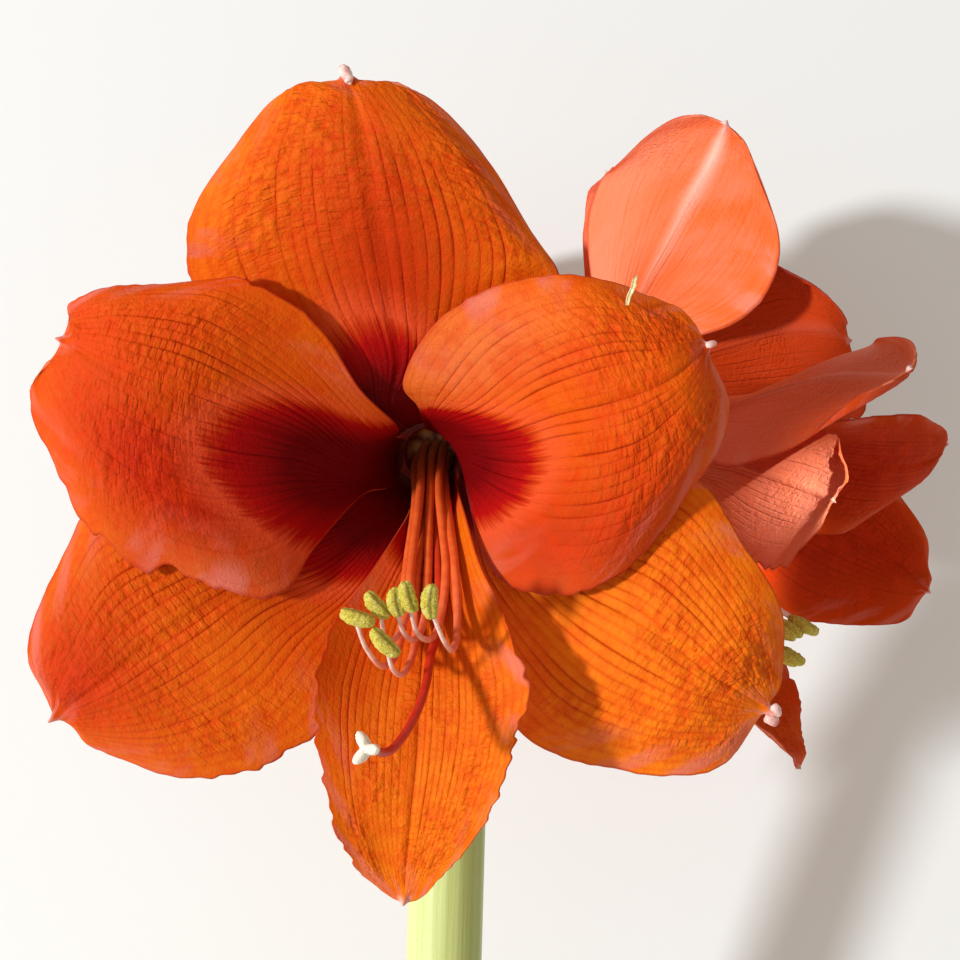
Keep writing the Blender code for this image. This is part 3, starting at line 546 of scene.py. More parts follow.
class Graph:
    """A material's node tree, with short calls for the nodes that the materials share.

    subsurface holds the weight, the radius for each colour and the scale.
    """

    def __init__(self, name, roughness, subsurface=()):
        self.material = bpy.data.materials.new(name)
        self.material.use_nodes = True
        self.tree = self.material.node_tree
        self.shader = self.tree.nodes["Principled BSDF"]
        self.shader.inputs["Roughness"].default_value = roughness
        for setting, value in zip(("Weight", "Radius", "Scale"), subsurface):
            self.shader.inputs[f"Subsurface {setting}"].default_value = value

    def put(self, socket, value):
        if isinstance(value, bpy.types.NodeSocket):
            self.tree.links.new(value, socket)
        elif isinstance(value, tuple) and len(value) == 3 and len(socket.default_value) == 4:
            socket.default_value = (*value, 1.0)
        else:
            socket.default_value = value

    def node(self, kind, **inputs):
        node = self.tree.nodes.new(f"ShaderNode{kind}")
        for name, value in inputs.items():
            self.put(node.inputs[name], value)
        return node

    def math(self, operation, *values):
        node = self.node("Math")
        node.operation = operation
        for socket, value in zip(node.inputs, values):
            self.put(socket, value)
        return node.outputs[0]

    def times(self, *values):
        return functools.reduce(functools.partial(self.math, "MULTIPLY"), values)

    def plus(self, *values):
        return functools.reduce(functools.partial(self.math, "ADD"), values)

    def minus(self, first, second):
        return self.math("SUBTRACT", first, second)

    def size(self, value):
        return self.math("ABSOLUTE", value)

    def beats(self, value):
        """Rises to 1 and falls to 0 once for each whole step of a value."""
        return self.size(self.math("SINE", self.times(value, math.pi)))

    def mix(self, factor, first, second):
        node = self.node("Mix")
        node.data_type = "RGBA"
        self.put(node.inputs[0], factor)
        self.put(node.inputs[6], first)
        self.put(node.inputs[7], second)
        return node.outputs[2]

    def coat(self, colour, *layers):
        """A colour under layers, each a mask and its own colour."""
        for mask, shade in layers:
            colour = self.mix(mask, colour, shade)
        return colour

    def noise(self, vector, scale, detail=2.0, roughness=0.5):
        node = self.node("TexNoise", Vector=vector, Scale=scale, Detail=detail, Roughness=roughness)
        return node.outputs["Fac"]

    def streaks(self, across, along, across_scale, along_scale, detail):
        """Noise that is stretched along a sheet or across it."""
        return self.noise(self.vector(self.times(across, across_scale), self.times(along, along_scale)), 1.0, detail)

    def ramp(self, value, *stops):
        """Linear steps through (place, colour) stops, where a colour is a number or three numbers."""
        node = self.node("ValToRGB", Fac=value)
        elements = node.color_ramp.elements
        while len(elements) < len(stops):
            elements.new(0.5)
        for element, (place, colour) in zip(elements, stops):
            element.position = place
            element.color = (*colour, 1.0) if isinstance(colour, tuple) else (colour, colour, colour, 1.0)
        return node.outputs["Color"]

    def rise(self, value, low, high, most=1.0):
        return self.ramp(value, (low, 0.0), (high, most))

    def fall(self, value, low, high, most=1.0):
        return self.ramp(value, (low, most), (high, 0.0))

    def sheet_place(self):
        """The two coordinates of the sheet's own map."""
        node = self.node("UVMap")
        node.uv_map = "sheet"
        return self.node("SeparateXYZ", Vector=node.outputs[0]).outputs[:2]

    def vector(self, x, y, z=0.0):
        return self.node("CombineXYZ", X=x, Y=y, Z=z).outputs[0]

    def place(self):
        return self.node("TexCoord").outputs["Object"]

    def paint(self, layer="paint"):
        """The four painted numbers of a vertex."""
        node = self.node("VertexColor")
        node.layer_name = layer
        return *self.node("SeparateColor", Color=node.outputs["Color"]).outputs[:3], node.outputs["Alpha"]

    def finish(self, colour, height=None, depth=0.0, strength=1.0, roughness=None):
        self.put(self.shader.inputs["Base Color"], colour)
        if height is not None:
            bump = self.node("Bump", Height=height, Distance=depth, Strength=strength)
            self.put(self.shader.inputs["Normal"], bump.outputs[0])
        if roughness is not None:
            self.put(self.shader.inputs["Roughness"], roughness)
        return self.material


def petal_material(name):
    """Orange with impressed red veins, a dark feathered throat that is partly painted shade, mauve margins with a
    painted sheen and a salmon outside; the low parts of the relief get painted shade.
    """
    g = Graph(name, 0.5, (0.10, (1.0, 0.16, 0.03), 0.0016))
    g.shader.inputs["Specular IOR Level"].default_value = 0.05
    across, along = g.sheet_place()
    patch, margin, outside, tip = g.paint()
    valley_shade, vein, crepe, strength = g.paint("relief")
    red, pale, gold, band = g.paint("tone")
    place = g.place()
    crest = g.minus(1.0, g.beats(vein))
    fade = g.streaks(across, along, 13.0, 6.0, 2.0)
    line = g.times(g.math("POWER", crest, 4.0), strength, g.ramp(fade, (0.36, 0.25), (0.6, 1.0)))
    shift = g.streaks(g.math("FLOOR", vein), along, 3.7, 11.0, 1.0)
    cell = g.beats(g.plus(g.times(along, 40.0), g.times(shift, 7.0)))
    crease = g.times(g.fall(cell, 0.0, 0.55), crepe)
    streak = g.streaks(across, along, 95.0, 7.0, 3.0)
    cross = g.streaks(across, along, 34.0, 85.0, 2.0)
    mottle_and_shade = g.noise(place, 190.0, 3.0)
    crinkle = g.noise(place, 560.0, 3.0, 0.6)
    cloud = g.noise(place, 38.0, 2.0)
    slant = g.plus(g.times(across, 7.0), g.times(along, 9.0))
    smear = g.noise(g.vector(slant, g.times(along, 5.0), patch), 1.0, 3.0)
    # The margins' mauve tint, partly a painted sheen.
    blush_and_sheen = g.times(margin, g.rise(smear, 0.48, 0.62))
    feathered = g.plus(patch, g.times(g.minus(streak, 0.5), 0.22))
    off_middle = g.size(g.minus(across, 0.5))

    inside = g.coat(
        g.mix(g.rise(cloud, 0.36, 0.62), (0.72, 0.086, 0.0025), (0.78, 0.128, 0.003)),
        (gold, (0.82, 0.172, 0.004)),
        (g.times(g.fall(crest, 0.15, 0.6, 0.6), gold), (0.88, 0.22, 0.008)),
        # Paler and deeper red zones: partly the tepal's own colour, partly painted light and painted shade.
        (pale, (0.74, 0.21, 0.075)),
        (red, (0.42, 0.016, 0.0015)),
        # Painted shade: darker red in the low parts of the relief, in its mottled dips, crepe, creases and valleys.
        # The mottling is partly the tepal's own colour.
        (g.fall(mottle_and_shade, 0.38, 0.56, 0.35), (0.66, 0.042, 0.002)),
        (g.times(crepe, g.fall(cross, 0.38, 0.56, 0.3)), (0.62, 0.030, 0.002)),
        (g.times(crease, 0.25), (0.60, 0.030, 0.002)),
        (g.times(valley_shade, 0.35), (0.60, 0.024, 0.002)),
        (g.times(line, 0.75), (0.42, 0.014, 0.002)),
        # Painted sheen over the mauve margins.
        (g.times(blush_and_sheen, 0.65), (0.66, 0.17, 0.13)),
        # The dark feathered throat patch: the tepal's own crimson, partly painted shade of the deep throat.
        (g.ramp(feathered, (0.28, 0.0), (0.44, 0.6), (0.5, 0.0)), (0.76, 0.085, 0.026)),
        (g.rise(feathered, 0.44, 0.55), (0.42, 0.0035, 0.003)),
        (g.rise(feathered, 0.52, 0.78), (0.15, 0.0012, 0.002)),
        (g.times(g.fall(along, 0.012, 0.04), g.rise(streak, 0.42, 0.62, 0.8)), (0.46, 0.26, 0.11)))

    stripe = g.ramp(off_middle, (0.006, 1.0), (0.045, 0.25), (0.075, 0.0))
    fine = g.plus(g.times(streak, 0.5), g.times(smear, 0.5))
    salmon = g.coat(
        g.mix(g.rise(fine, 0.40, 0.62), (0.80, 0.130, 0.024), (0.82, 0.180, 0.080)),
        # Deeper red and paler zones, partly painted shade and painted light.
        (red, (0.50, 0.040, 0.003)),
        (pale, (0.90, 0.33, 0.20)),
        (g.times(stripe, band, g.ramp(along, (0.3, 0.1), (0.7, 1.0))), (0.90, 0.52, 0.42)),
        # Painted sheen over the mauve margins of the outside.
        (g.times(blush_and_sheen, g.minus(0.45, g.times(red, 0.45))), (0.78, 0.26, 0.20)))
    colour = g.coat(g.mix(outside, inside, salmon),
                    (g.rise(off_middle, 0.488, 0.498, 0.6), (0.45, 0.03, 0.01)),
                    (tip, (0.86, 0.55, 0.50)))

    grain = g.noise(place, 1500.0, 2.0, 0.7)
    height = g.plus(g.times(cross, crepe, 0.7), g.times(grain, 0.35), g.times(mottle_and_shade, 0.4),
                    g.times(crinkle, g.plus(0.35, g.times(crepe, 0.6))), g.times(line, -0.5), g.times(crease, -0.25))
    return g.finish(colour, height, 0.0008, 0.85, g.ramp(grain, (0.3, 0.62), (0.72, 0.36)))


def thread_material(name, roughness, subsurface, streak_scale, stops, fleck, relief):
    """A filament or a style: colours from its foot to its end, with fine darker flecks."""
    g = Graph(name, roughness, subsurface)
    _, along = g.sheet_place()
    streak = g.noise(g.place(), streak_scale, 2.0)
    amount, shade = fleck
    colour = g.mix(g.fall(streak, 0.4, 0.6, amount), g.ramp(along, *stops), shade)
    return g.finish(colour, streak, 0.0002, relief)


def filament_material():
    """Tan at the foot, orange-red along it and pale pink at the free end; the light tan is partly painted light for
    the shaded throat.
    """
    # The light tan at the foot is partly painted light, for the foot in the shaded throat.
    stops = ((0.0, (0.85, 0.46, 0.18)), (0.09, (0.80, 0.20, 0.06)), (0.2, (0.74, 0.10, 0.015)),
             (0.42, (0.82, 0.14, 0.025)), (0.68, (0.80, 0.18, 0.08)), (0.82, (0.88, 0.48, 0.36)),
             (1.0, (0.92, 0.78, 0.70)))
    return thread_material("filament", 0.35, (0.2, (1.0, 0.3, 0.15), 0.001), 420.0, stops,
                           (0.3, (0.55, 0.03, 0.01)), 0.4)


def style_material():
    stops = ((0.0, (0.50, 0.10, 0.02)), (0.3, (0.62, 0.04, 0.01)), (0.7, (0.56, 0.022, 0.008)),
             (0.95, (0.60, 0.035, 0.02)), (1.0, (0.75, 0.22, 0.16)))
    return thread_material("style", 0.33, (0.15, (1.0, 0.2, 0.1), 0.001), 380.0, stops,
                           (0.25, (0.40, 0.01, 0.005)), 0.35)


def anther_material():
    """Yellow-green pollen grains over an olive wall, with painted shade in the furrow between the lobes."""
    g = Graph("anther", 0.85)
    place = g.place()
    grain = g.noise(place, 2600.0, 3.0, 0.75)
    lump = g.noise(place, 700.0, 2.0)
    # The furrow between the lobes, darkened as painted shade.
    hollow = g.paint()[0]
    colour = g.coat(g.mix(g.rise(grain, 0.32, 0.62), (0.30, 0.22, 0.015), (0.88, 0.72, 0.09)),
                    (g.rise(lump, 0.5, 0.75, 0.5), (0.90, 0.86, 0.36)),
                    (g.times(hollow, 0.6), (0.24, 0.20, 0.03)))
    return g.finish(colour, grain, 0.0004, 1.0)


def stigma_material():
    g = Graph("stigma", 0.55, (0.4, (1.0, 0.7, 0.5), 0.001))
    grain = g.noise(g.place(), 1800.0, 3.0, 0.7)
    colour = g.coat(g.mix(g.rise(grain, 0.3, 0.7), (0.74, 0.64, 0.50), (0.88, 0.82, 0.70)),
                    (g.paint()[0], (0.78, 0.34, 0.28)))
    return g.finish(colour, grain, 0.0003, 0.8)


def tube_material():
    """Green stalk and ovary, a tube that turns orange, and a tan star in a crimson throat; the star's light tan is
    partly painted light for the shaded throat.
    """
    g = Graph("tube", 0.45, (0.1, (0.6, 0.6, 0.2), 0.0015))
    around, _ = g.sheet_place()
    inside, along, star, _ = g.paint()
    streak = g.streaks(around, along, 46.0, 5.0, 3.0)
    body = g.ramp(along, (0.0, (0.34, 0.44, 0.10)), (0.5, (0.26, 0.38, 0.07)), (0.74, (0.34, 0.36, 0.07)),
                  (0.86, (0.62, 0.20, 0.05)), (1.0, (0.74, 0.09, 0.02)))
    body = g.mix(g.rise(streak, 0.4, 0.62, 0.4), body, (0.50, 0.50, 0.20))
    # The star's light tan is partly painted light for the shaded throat.
    cup = g.mix(star, (0.26, 0.006, 0.004), (0.88, 0.42, 0.14))
    return g.finish(g.mix(inside, body, cup), streak, 0.0003, 0.5)


def scape_material():
    """Pale yellow-green with fine lengthwise streaks, a waxy bloom and a painted shade of darker olive down one side;
    the cut end is wet and paler.
    """
    g = Graph("scape", 0.38, (0.12, (0.5, 0.8, 0.2), 0.003))
    around, along = g.sheet_place()
    cut = g.paint()[0]
    fine = g.streaks(around, along, 90.0, 6.0, 3.0)
    broad = g.streaks(around, along, 12.0, 3.0, 2.0)
    speck = g.noise(g.place(), 900.0, 2.0, 0.7)
    # Painted shade: a darker olive down one side of the scape.
    shaded_side = g.rise(g.size(g.minus(around, 0.5)), 0.26, 0.42, 0.75)
    colour = g.coat(g.mix(g.rise(broad, 0.3, 0.7), (0.50, 0.58, 0.16), (0.64, 0.70, 0.27)),
                    (g.rise(fine, 0.4, 0.66, 0.4), (0.74, 0.80, 0.42)),
                    (g.rise(speck, 0.62, 0.75, 0.5), (0.70, 0.76, 0.46)),
                    (shaded_side, (0.32, 0.40, 0.07)))
    flesh = g.mix(g.rise(speck, 0.35, 0.65), (0.62, 0.68, 0.34), (0.80, 0.82, 0.58))
    return g.finish(g.mix(cut, colour, flesh), g.plus(fine, g.times(speck, 0.4)), 0.0003, 0.45)


def spathe_material():
    """Papery withered bract: tan with darker parallel veins."""
    g = Graph("spathe", 0.72)
    across, along = g.sheet_place()
    veins = g.streaks(across, along, 42.0, 2.5, 3.0)
    cloud = g.noise(g.place(), 90.0, 3.0)
    colour = g.coat(g.ramp(along, (0.0, (0.46, 0.30, 0.16)), (0.35, (0.58, 0.42, 0.25)), (1.0, (0.42, 0.26, 0.14))),
                    (g.fall(veins, 0.42, 0.56, 0.6), (0.26, 0.13, 0.07)),
                    (g.rise(cloud, 0.5, 0.7, 0.4), (0.70, 0.58, 0.40)))
    return g.finish(colour, g.plus(veins, g.times(cloud, 0.5)), 0.0006, 0.8)


def tip_material():
    """The waxy, pinkish white end of a tepal."""
    g = Graph("tip", 0.4, (0.2, (1.0, 0.5, 0.4), 0.001))
    grain = g.noise(g.place(), 900.0, 3.0, 0.6)
    broad = g.noise(g.place(), 330.0, 2.0)
    return g.finish(g.mix(g.rise(broad, 0.36, 0.62), (0.62, 0.20, 0.17), (0.86, 0.62, 0.56)), grain, 0.0003, 0.6)


def sliver_material():
    """Dry, straw-coloured tissue."""
    g = Graph("sliver", 0.6)
    _, along = g.sheet_place()
    grain = g.noise(g.place(), 1100.0, 3.0, 0.6)
    colour = g.coat(g.mix(g.rise(grain, 0.38, 0.62), (0.66, 0.46, 0.18), (0.90, 0.82, 0.52)),
                    (g.rise(along, 0.75, 1.0, 0.7), (0.58, 0.30, 0.10)))
    return g.finish(colour, grain, 0.0002, 0.6)


def floor_material():
    g = Graph("floor", 0.7)
    return g.finish(g.mix(g.rise(g.noise(g.place(), 1.2, 2.0), 0.3, 0.7), *FLOOR_TINTS))


# The flower's pieces.

def tepal_grid(name, bloom, along, across, seed):
    """The middle surface of a tepal with its cut margin, as a grid of points."""
    tip, rails = TEPALS[name]
    openness, turn, width, arch = bloom["tepals"].get(name, FULLY_OPEN)
    shoulder_reach, notch, scallop, tip_pull = MARGINS[name]
    edge = np.abs(across) ** 6
    teeth = lumps(along * TEPAL_LENGTH / NOTCH_SPACING, np.sign(across) * 3.0, seed)
    waves = lumps(along * TEPAL_LENGTH / SCALLOP_SPACING, np.sign(across) * 5.0, seed + 9)
    reach = 1 + edge * smoothstep(along, 0.35, 0.6) * (notch * teeth + scallop * waves) / TEPAL_HALF_WIDTH
    rounded = along - CORNER_ROUNDING * edge * smoothstep(along, 0.8, 1.0)
    points = tepal_points(tip, rails, rounded.ravel(), (across * reach).ravel(), width)
    shoulder = bell(np.abs(across) - SHOULDER_SIDE, SHOULDER_WIDTH) * smoothstep(along, 0.78, 0.9)
    shoulder = shoulder * smoothstep(1 - along, 0.0, 0.12)
    pull = tip_pull * smoothstep(along, 0.86, 1.0)
    points = points + (shoulder_reach * shoulder - pull).ravel()[:, None] * tip_heading(rails)
    return fold_inwards(points, openness, turn, arch).reshape(*along.shape, 3)


def scatter(number):
    """A fixed random value from 0 to 1 for each whole number."""
    value = np.sin(number * 12.9898 + 4.1) * 43758.5453
    return value - np.floor(value)


def tepal_relief(along, across, seed, strength):
    """Height over the middle surface, and what the material needs of it.

    There are impressed veins, crepe-like cross wrinkles between them and a channel over the midrib.
    """
    length, half = along * TEPAL_LENGTH, across * TEPAL_HALF_WIDTH
    vein = VEINS * (across + 0.03 * lumps(along * 3.0, across * 2.0, seed + 3)) + 0.5
    number, lane = np.round(vein), np.floor(vein)
    central = smoothstep(1 - np.abs(across), 0.08, 0.5)
    reach = smoothstep(along, 0.18, 0.36) * smoothstep(1 - along, 0.05, 0.55)
    power = (0.25 + 0.75 * central) * (0.2 + 0.8 * reach) * (0.2 + 0.8 * scatter(number + seed))
    power = power * (0.7 + 0.45 * lumps(length / 13, number * 1.7, seed + 7))
    lines = bell(np.sin(math.pi * vein), 0.5)
    where = smoothstep(lumps(length / 20, half / 14, seed + 1), -0.55, 0.45)
    crepe = smoothstep(along, 0.36, 0.62) * smoothstep(1 - along, 0.02, 0.12)
    crepe = crepe * smoothstep(1 - np.abs(across), 0.02, 0.3) * (0.2 + 0.8 * where)
    beat = length / WRINKLE_SPACING + 3 * scatter(lane + seed) + 0.9 * lumps(length / 4.5, lane * 2.3, seed + 2)
    wrinkle = np.cos(2 * math.pi * beat) * (0.55 + 0.45 * lumps(length / 6, lane * 1.3, seed + 5))
    wrinkle = 0.4 * wrinkle + 1.15 * lumps(length / 1.6, half / 2.4, seed + 4)
    folds = lumps(length / 12.0, half / 8.0, seed + 6)
    channel = bell(across, MIDRIB_WIDTH) * smoothstep(along, 0.1, 0.3) * smoothstep(1 - along, 0.0, 0.2)
    height = -VEIN_DEPTH * lines * power + WRINKLE_HEIGHT * wrinkle * crepe + FOLD_HEIGHT * folds * crepe
    hook = TIP_HOOK * strength**2 * bell(across, 0.16) * smoothstep(along, 0.955, 1.0)
    # Where the wrinkles lie low, for the material's painted shade.
    valley_shade = smoothstep(-wrinkle, 0.1, 0.9) * crepe
    paint = np.stack([valley_shade, vein, crepe, np.clip(power * 1.8, 0, 1)], axis=-1)
    return strength * height - CHANNEL_DEPTH * channel + hook, paint


def tepal_thickness(along, across):
    """Thin at the margin, thick at the foot, along the midrib and in the small horn at the tip."""
    body = 0.62 - 0.26 * np.abs(across) ** 3
    foot = 0.5 * smoothstep(1 - along, 0.75, 1.0)
    rib = 0.7 * bell(across, 0.045) * smoothstep(1 - along, 0.1, 0.9)
    horn = 1.1 * bell(across, 0.22) * smoothstep(along, 0.95, 1.0)
    return body + foot + rib + horn


def tepal_paint(name, along, across, outside):
    """Where the tepal has its throat patch, partly painted shade, its mauve margin with its painted sheen and its
    pale tip, and which side this is.
    """
    reach, width, offset = PATCHES[name]
    distance = along / reach * np.hypot(1.0, (across - offset) / width)
    patch = np.clip(1.5 - distance, 0, 1) * (1 - outside)
    margin = smoothstep(np.abs(across), 0.6, 1.0) * smoothstep(along, 0.25, 0.5) + smoothstep(along, 0.86, 1.0)
    tip = smoothstep(along, 0.972, 0.995) * smoothstep(0.5 - np.abs(across), 0.0, 0.3) * PALE_TIPS.get(name, 1.0)
    return np.stack([patch, np.clip(margin, 0, 1), np.full_like(along, outside), tip], axis=-1)


def tepal_tone(key, name, along, across):
    """How much redder and paler the tepal is at each place, partly painted shade and painted light, how much more
    golden it is, and how strong its outer band is.
    """
    tone = np.zeros((*along.shape, 4))
    for place, side, half_along, half_across, amount in ZONES[key].get(name, ()):
        spot = bell(along - place, half_along) * bell(across - side, half_across)
        tone[..., 0 if amount > 0 else 1] += abs(amount) * spot
    tone[..., 2:] = LEVELS[key].get(name, PLAIN_LEVEL)
    return np.clip(tone, 0, 1)


def add_knobs(name, midrib, forward, material, matrix):
    """The pale swellings at the end of one tepal of the front bloom."""
    outward = unit(midrib[-1] - midrib[-1 - len(midrib) // 20])
    forward = unit(forward - (forward @ outward) * outward)
    axes = np.array([np.cross(outward, forward), outward, forward])
    station, turn = ball_grid(*KNOB_GRID)
    for number, (place, heading, half, radius) in enumerate(TIP_KNOBS.get(name, ())):
        local = about_axis(radius * np.sin(station) ** 0.8, -half * np.cos(station), turn)
        x, y, z = np.moveaxis(local, -1, 0)
        local = local * (1 + 0.16 * lumps(x / 0.8, y / 0.8, z / 1.2 + number))[..., None]
        rings = local @ pointed_at(np.array(heading) @ axes) + midrib[-1] + np.array(place) @ axes
        add_loft(f"front_tip_{name}_{number + 1}", f"front_tepal_{name}", material, rings, matrix)


def add_sliver(material):
    """A dry, curled shred of bract that has stuck to the front bloom."""
    along, across = sheet_grid(*SLIVER_GRID)
    width = SLIVER_HALF_WIDTH * np.sin(math.pi * (0.12 + 0.8 * along)) ** 0.6
    curl = (across**2)[..., None] * width[..., None] * np.array((0.0, -0.8, 0.0))
    middle = spline(SLIVER, along[:, 0])[:, None] + (across * width)[..., None] * np.array(SLIVER_ACROSS) + curl
    add_sheet("dry_sliver", "front_tepal_upper_right", material, middle, surface_normals(middle) * 0.12,
              along, across, LAID)


def add_tepals(key, bloom, matrix, material, tip_skin):
    rows, columns = bloom["grid"]
    along, across = sheet_grid(rows, columns)
    for name in TEPALS:
        seed = sum(map(ord, f"tepal_{name}")) * 0.37 + (0.0 if key == "front" else 5.3)
        middle = tepal_grid(name, bloom, along, across, seed)
        normal = surface_normals(middle)
        height, relief = tepal_relief(along, across, seed, bloom["relief"])
        raised = middle + normal * height[..., None]
        half = normal * tepal_thickness(along, across)[..., None] / 2
        paints = {"paint": [tepal_paint(name, along, across, side) for side in (0.0, 1.0)],
                  "relief": [relief] * 2, "tone": [tepal_tone(key, name, along, across)] * 2}
        add_sheet(f"{key}_petal_{name}", f"{key}_tepal_{name}", material, raised, half, along, across,
                  matrix, paints)
        if key == "front":
            add_knobs(name, raised[:, columns // 2], normal[-1 - rows // 20, columns // 2], tip_skin, matrix)


def stalk_path(bloom, matrix):
    """The curve from the end of the straight tube down to the scape, as points in the bloom's frame."""
    to_bloom = matrix.inverted()
    foot = np.array(to_bloom @ ((SCAPE_TOP + Vector((*bloom["stalk_foot"], GAP))) * MM)) / MM
    rise = np.array((to_bloom.to_3x3() @ Vector((0, 0, 1))).normalized())
    join = np.array((0, 0, -TUBE_STRAIGHT))
    pull = STALK_PULL * np.linalg.norm(join - foot)
    t = np.linspace(0, 1, PATH_STEPS)[:, None]
    behind, above = join - np.array((0, 0, pull)), foot + pull * rise
    return (1 - t) ** 3 * join + 3 * t * (1 - t) ** 2 * behind + 3 * t**2 * (1 - t) * above + t**3 * foot


def add_tube(key, bloom, upright, material):
    """Stalk, ovary and perianth tube, grown as one, with the throat as a cup in its end."""
    path = stalk_path(bloom, upright)
    lengths = TUBE_STRAIGHT + np.append(0, np.cumsum(np.linalg.norm(np.diff(path, axis=0), axis=1)))
    tangents = np.gradient(-path, axis=0)
    foot = lengths[-1]
    distance = np.concatenate([np.linspace(foot, OVARY_END, STALK_RINGS, endpoint=False),
                               np.linspace(OVARY_END, GAP, OVARY_RINGS)])
    far, radius = (np.array(column)[::-1] for column in zip((foot, STALK_RADIUS), *TUBE_OUTSIDE))
    shape = np.interp(distance, far, radius)
    shape = np.convolve(np.pad(shape, 2, mode="edge"), (0.1, 0.2, 0.4, 0.2, 0.1), mode="valid")
    shape[-1] = TUBE_RIM_OUTER
    cup = spline(CUP, np.linspace(0, 1, CUP_RINGS))
    inside = np.repeat((0.0, 1.0), (len(distance), len(cup)))
    distance = np.concatenate([distance, cup[:, 0]])
    shape = np.concatenate([shape, np.maximum(cup[:, 1], 0.05)])
    turn = circle(TUBE_SIDES)
    ribs = 1 + 0.012 * np.cos(24 * turn)
    rings = []
    for place, ring_radius in zip(distance, shape):
        if place > TUBE_STRAIGHT:
            centre, heading = between(place, lengths, path), unit(between(place, lengths, tangents))
        else:
            centre, heading = np.array((0, 0, -place)), np.array((0, 0, 1.0))
        side = unit(np.array((1, 0, 0)) - heading[0] * heading)
        lobe = 1 + OVARY_LOBE * np.cos(3 * turn) * bell(place - OVARY_MIDDLE, OVARY_SPREAD)
        spread = (ring_radius * lobe * ribs)[:, None]
        over = np.cross(heading, side)
        rings.append(centre + spread * (np.cos(turn)[:, None] * side + np.sin(turn)[:, None] * over))
    paint = plain_paint((len(rings), len(turn)), inside[:, None])
    paint[..., 1] = (1 - distance / foot)[:, None]
    paint[..., 2] = np.clip((distance - 2.0) / 3.0, 0, 1)[:, None] * (0.5 + 0.5 * np.cos(6 * turn)) ** 0.8
    add_loft(f"{key}_stalk_and_tube", f"{key}_tube", material, np.array(rings), LAID @ upright, paint)


def anther_frame(ends):
    first, last = (np.array(end, float) for end in ends)
    return (first + last) / 2, unit(last - first), np.linalg.norm(last - first) / 2


def filament_end(course, ends, joint):
    """Where the filament stops, at the anther's skin."""
    centre, along, half = anther_frame(ends)
    seat = centre + along * half * joint
    back = np.array(course[-1], float) - seat
    return seat + unit(back - along * (back @ along)) * (ANTHER_RADIUS * math.sqrt(1 - joint**2) * 0.8)


def add_anther(name, node, centre, along, half, material, matrix, seed):
    """Two fat lobes of pollen with a furrow between them, grainy all over."""
    station, turn = ball_grid(*ANTHER_GRID)
    furrow = bell(np.angle(np.exp(1j * (turn - ANTHER_FURROW))), 0.34)
    lobes = 0.94 + 0.1 * np.abs(np.sin(turn - ANTHER_FURROW)) - 0.2 * furrow
    local = about_axis(ANTHER_RADIUS * np.sin(station) ** 0.62 * lobes, -half * np.cos(station), turn)
    local[..., 0] += 0.5 * np.cos(station) ** 2
    x, y, z = np.moveaxis(local, -1, 0)
    grain = sum(share * lumps(x / size + seed, y / size, z / size) for share, size in ((1.0, 0.42), (0.7, 0.9)))
    local = local + unit(local) * (ANTHER_GRAIN * grain)[..., None]
    rings = local @ pointed_at(along) + centre
    # The furrow is painted for the material's painted shade.
    add_loft(name, node, material, rings, matrix, plain_paint(rings.shape[:2], furrow))


def add_stamens(key, bloom, matrix, filament, anther):
    """In the half-hidden blooms a stamen is one node, and the anther sits on the end of its filament."""
    front = key == "front"
    steps, sides = THREAD_GRID if front else SIMPLE_THREAD_GRID
    along = np.linspace(0, 1, steps)
    taper = smoothstep(along, FILAMENT_TAPER_START, 1.0) if front else along
    radii = FILAMENT_BASE_RADIUS + (FILAMENT_TIP_RADIUS - FILAMENT_BASE_RADIUS) * taper
    parts = ("filament", "anther") if front else ("stamen", "stamen")
    for number, (course, ends, joint) in enumerate(STAMENS, start=1):
        thread_node, pollen_node = (f"{key}_{part}_{number}" for part in parts)
        if front:
            course = [*course, filament_end(course, ends, joint)]
        else:
            course = [*course[:-1], np.array(course[-2]) + SIMPLE_STAMEN_END]
        line = in_heart(bloom, spline(course, along))
        add_loft(f"{key}_thread_{number}", thread_node, filament, stalk_rings(line, radii, sides, 0.05),
                 matrix)
        if front:
            centre, heading, half = anther_frame(ends)
        else:
            heading, half = unit(line[-1] - line[-2]), SIMPLE_ANTHER_LENGTH / 2
            centre = line[-1] + heading * half
        add_anther(f"{key}_pollen_{number}", pollen_node, centre, heading, half, anther, matrix,
                   number * (3.7 if front else 5.1))


def add_pistil(key, bloom, matrix, style, stigma):
    steps, sides = STYLE_GRID
    along = np.linspace(0, 1, steps)
    line = in_heart(bloom, spline(STYLE, along * bloom["style_reach"]))
    rings = stalk_rings(line, STYLE_RADIUS * (1 - 0.15 * along), sides, 0.04)
    add_loft(f"{key}_pistil", f"{key}_style", style, rings, matrix)
    station, turn = ball_grid(*STIGMA_GRID)
    lobe = (0.5 + 0.5 * np.cos(3 * turn)) ** 1.2
    spread = np.sin(station) ** 0.8 * (STIGMA_CORE + (STIGMA_LOBE - STIGMA_CORE) * lobe)
    local = about_axis(spread, STIGMA_HALF * (1 - np.cos(station)) + 0.08 * spread**2, turn)
    grain = lumps(*np.moveaxis(local, -1, 0) / 0.35)
    local = local + (local - (0, 0, STIGMA_HALF)) * (0.045 * grain)[..., None]
    rings = local @ pointed_at(unit(line[-1] - line[-2])) + line[-1]
    add_loft(f"{key}_stigma_lobes", f"{key}_stigma", stigma, rings, matrix,
             plain_paint(rings.shape[:2], 1 - smoothstep(station, 0.3, 0.9)))


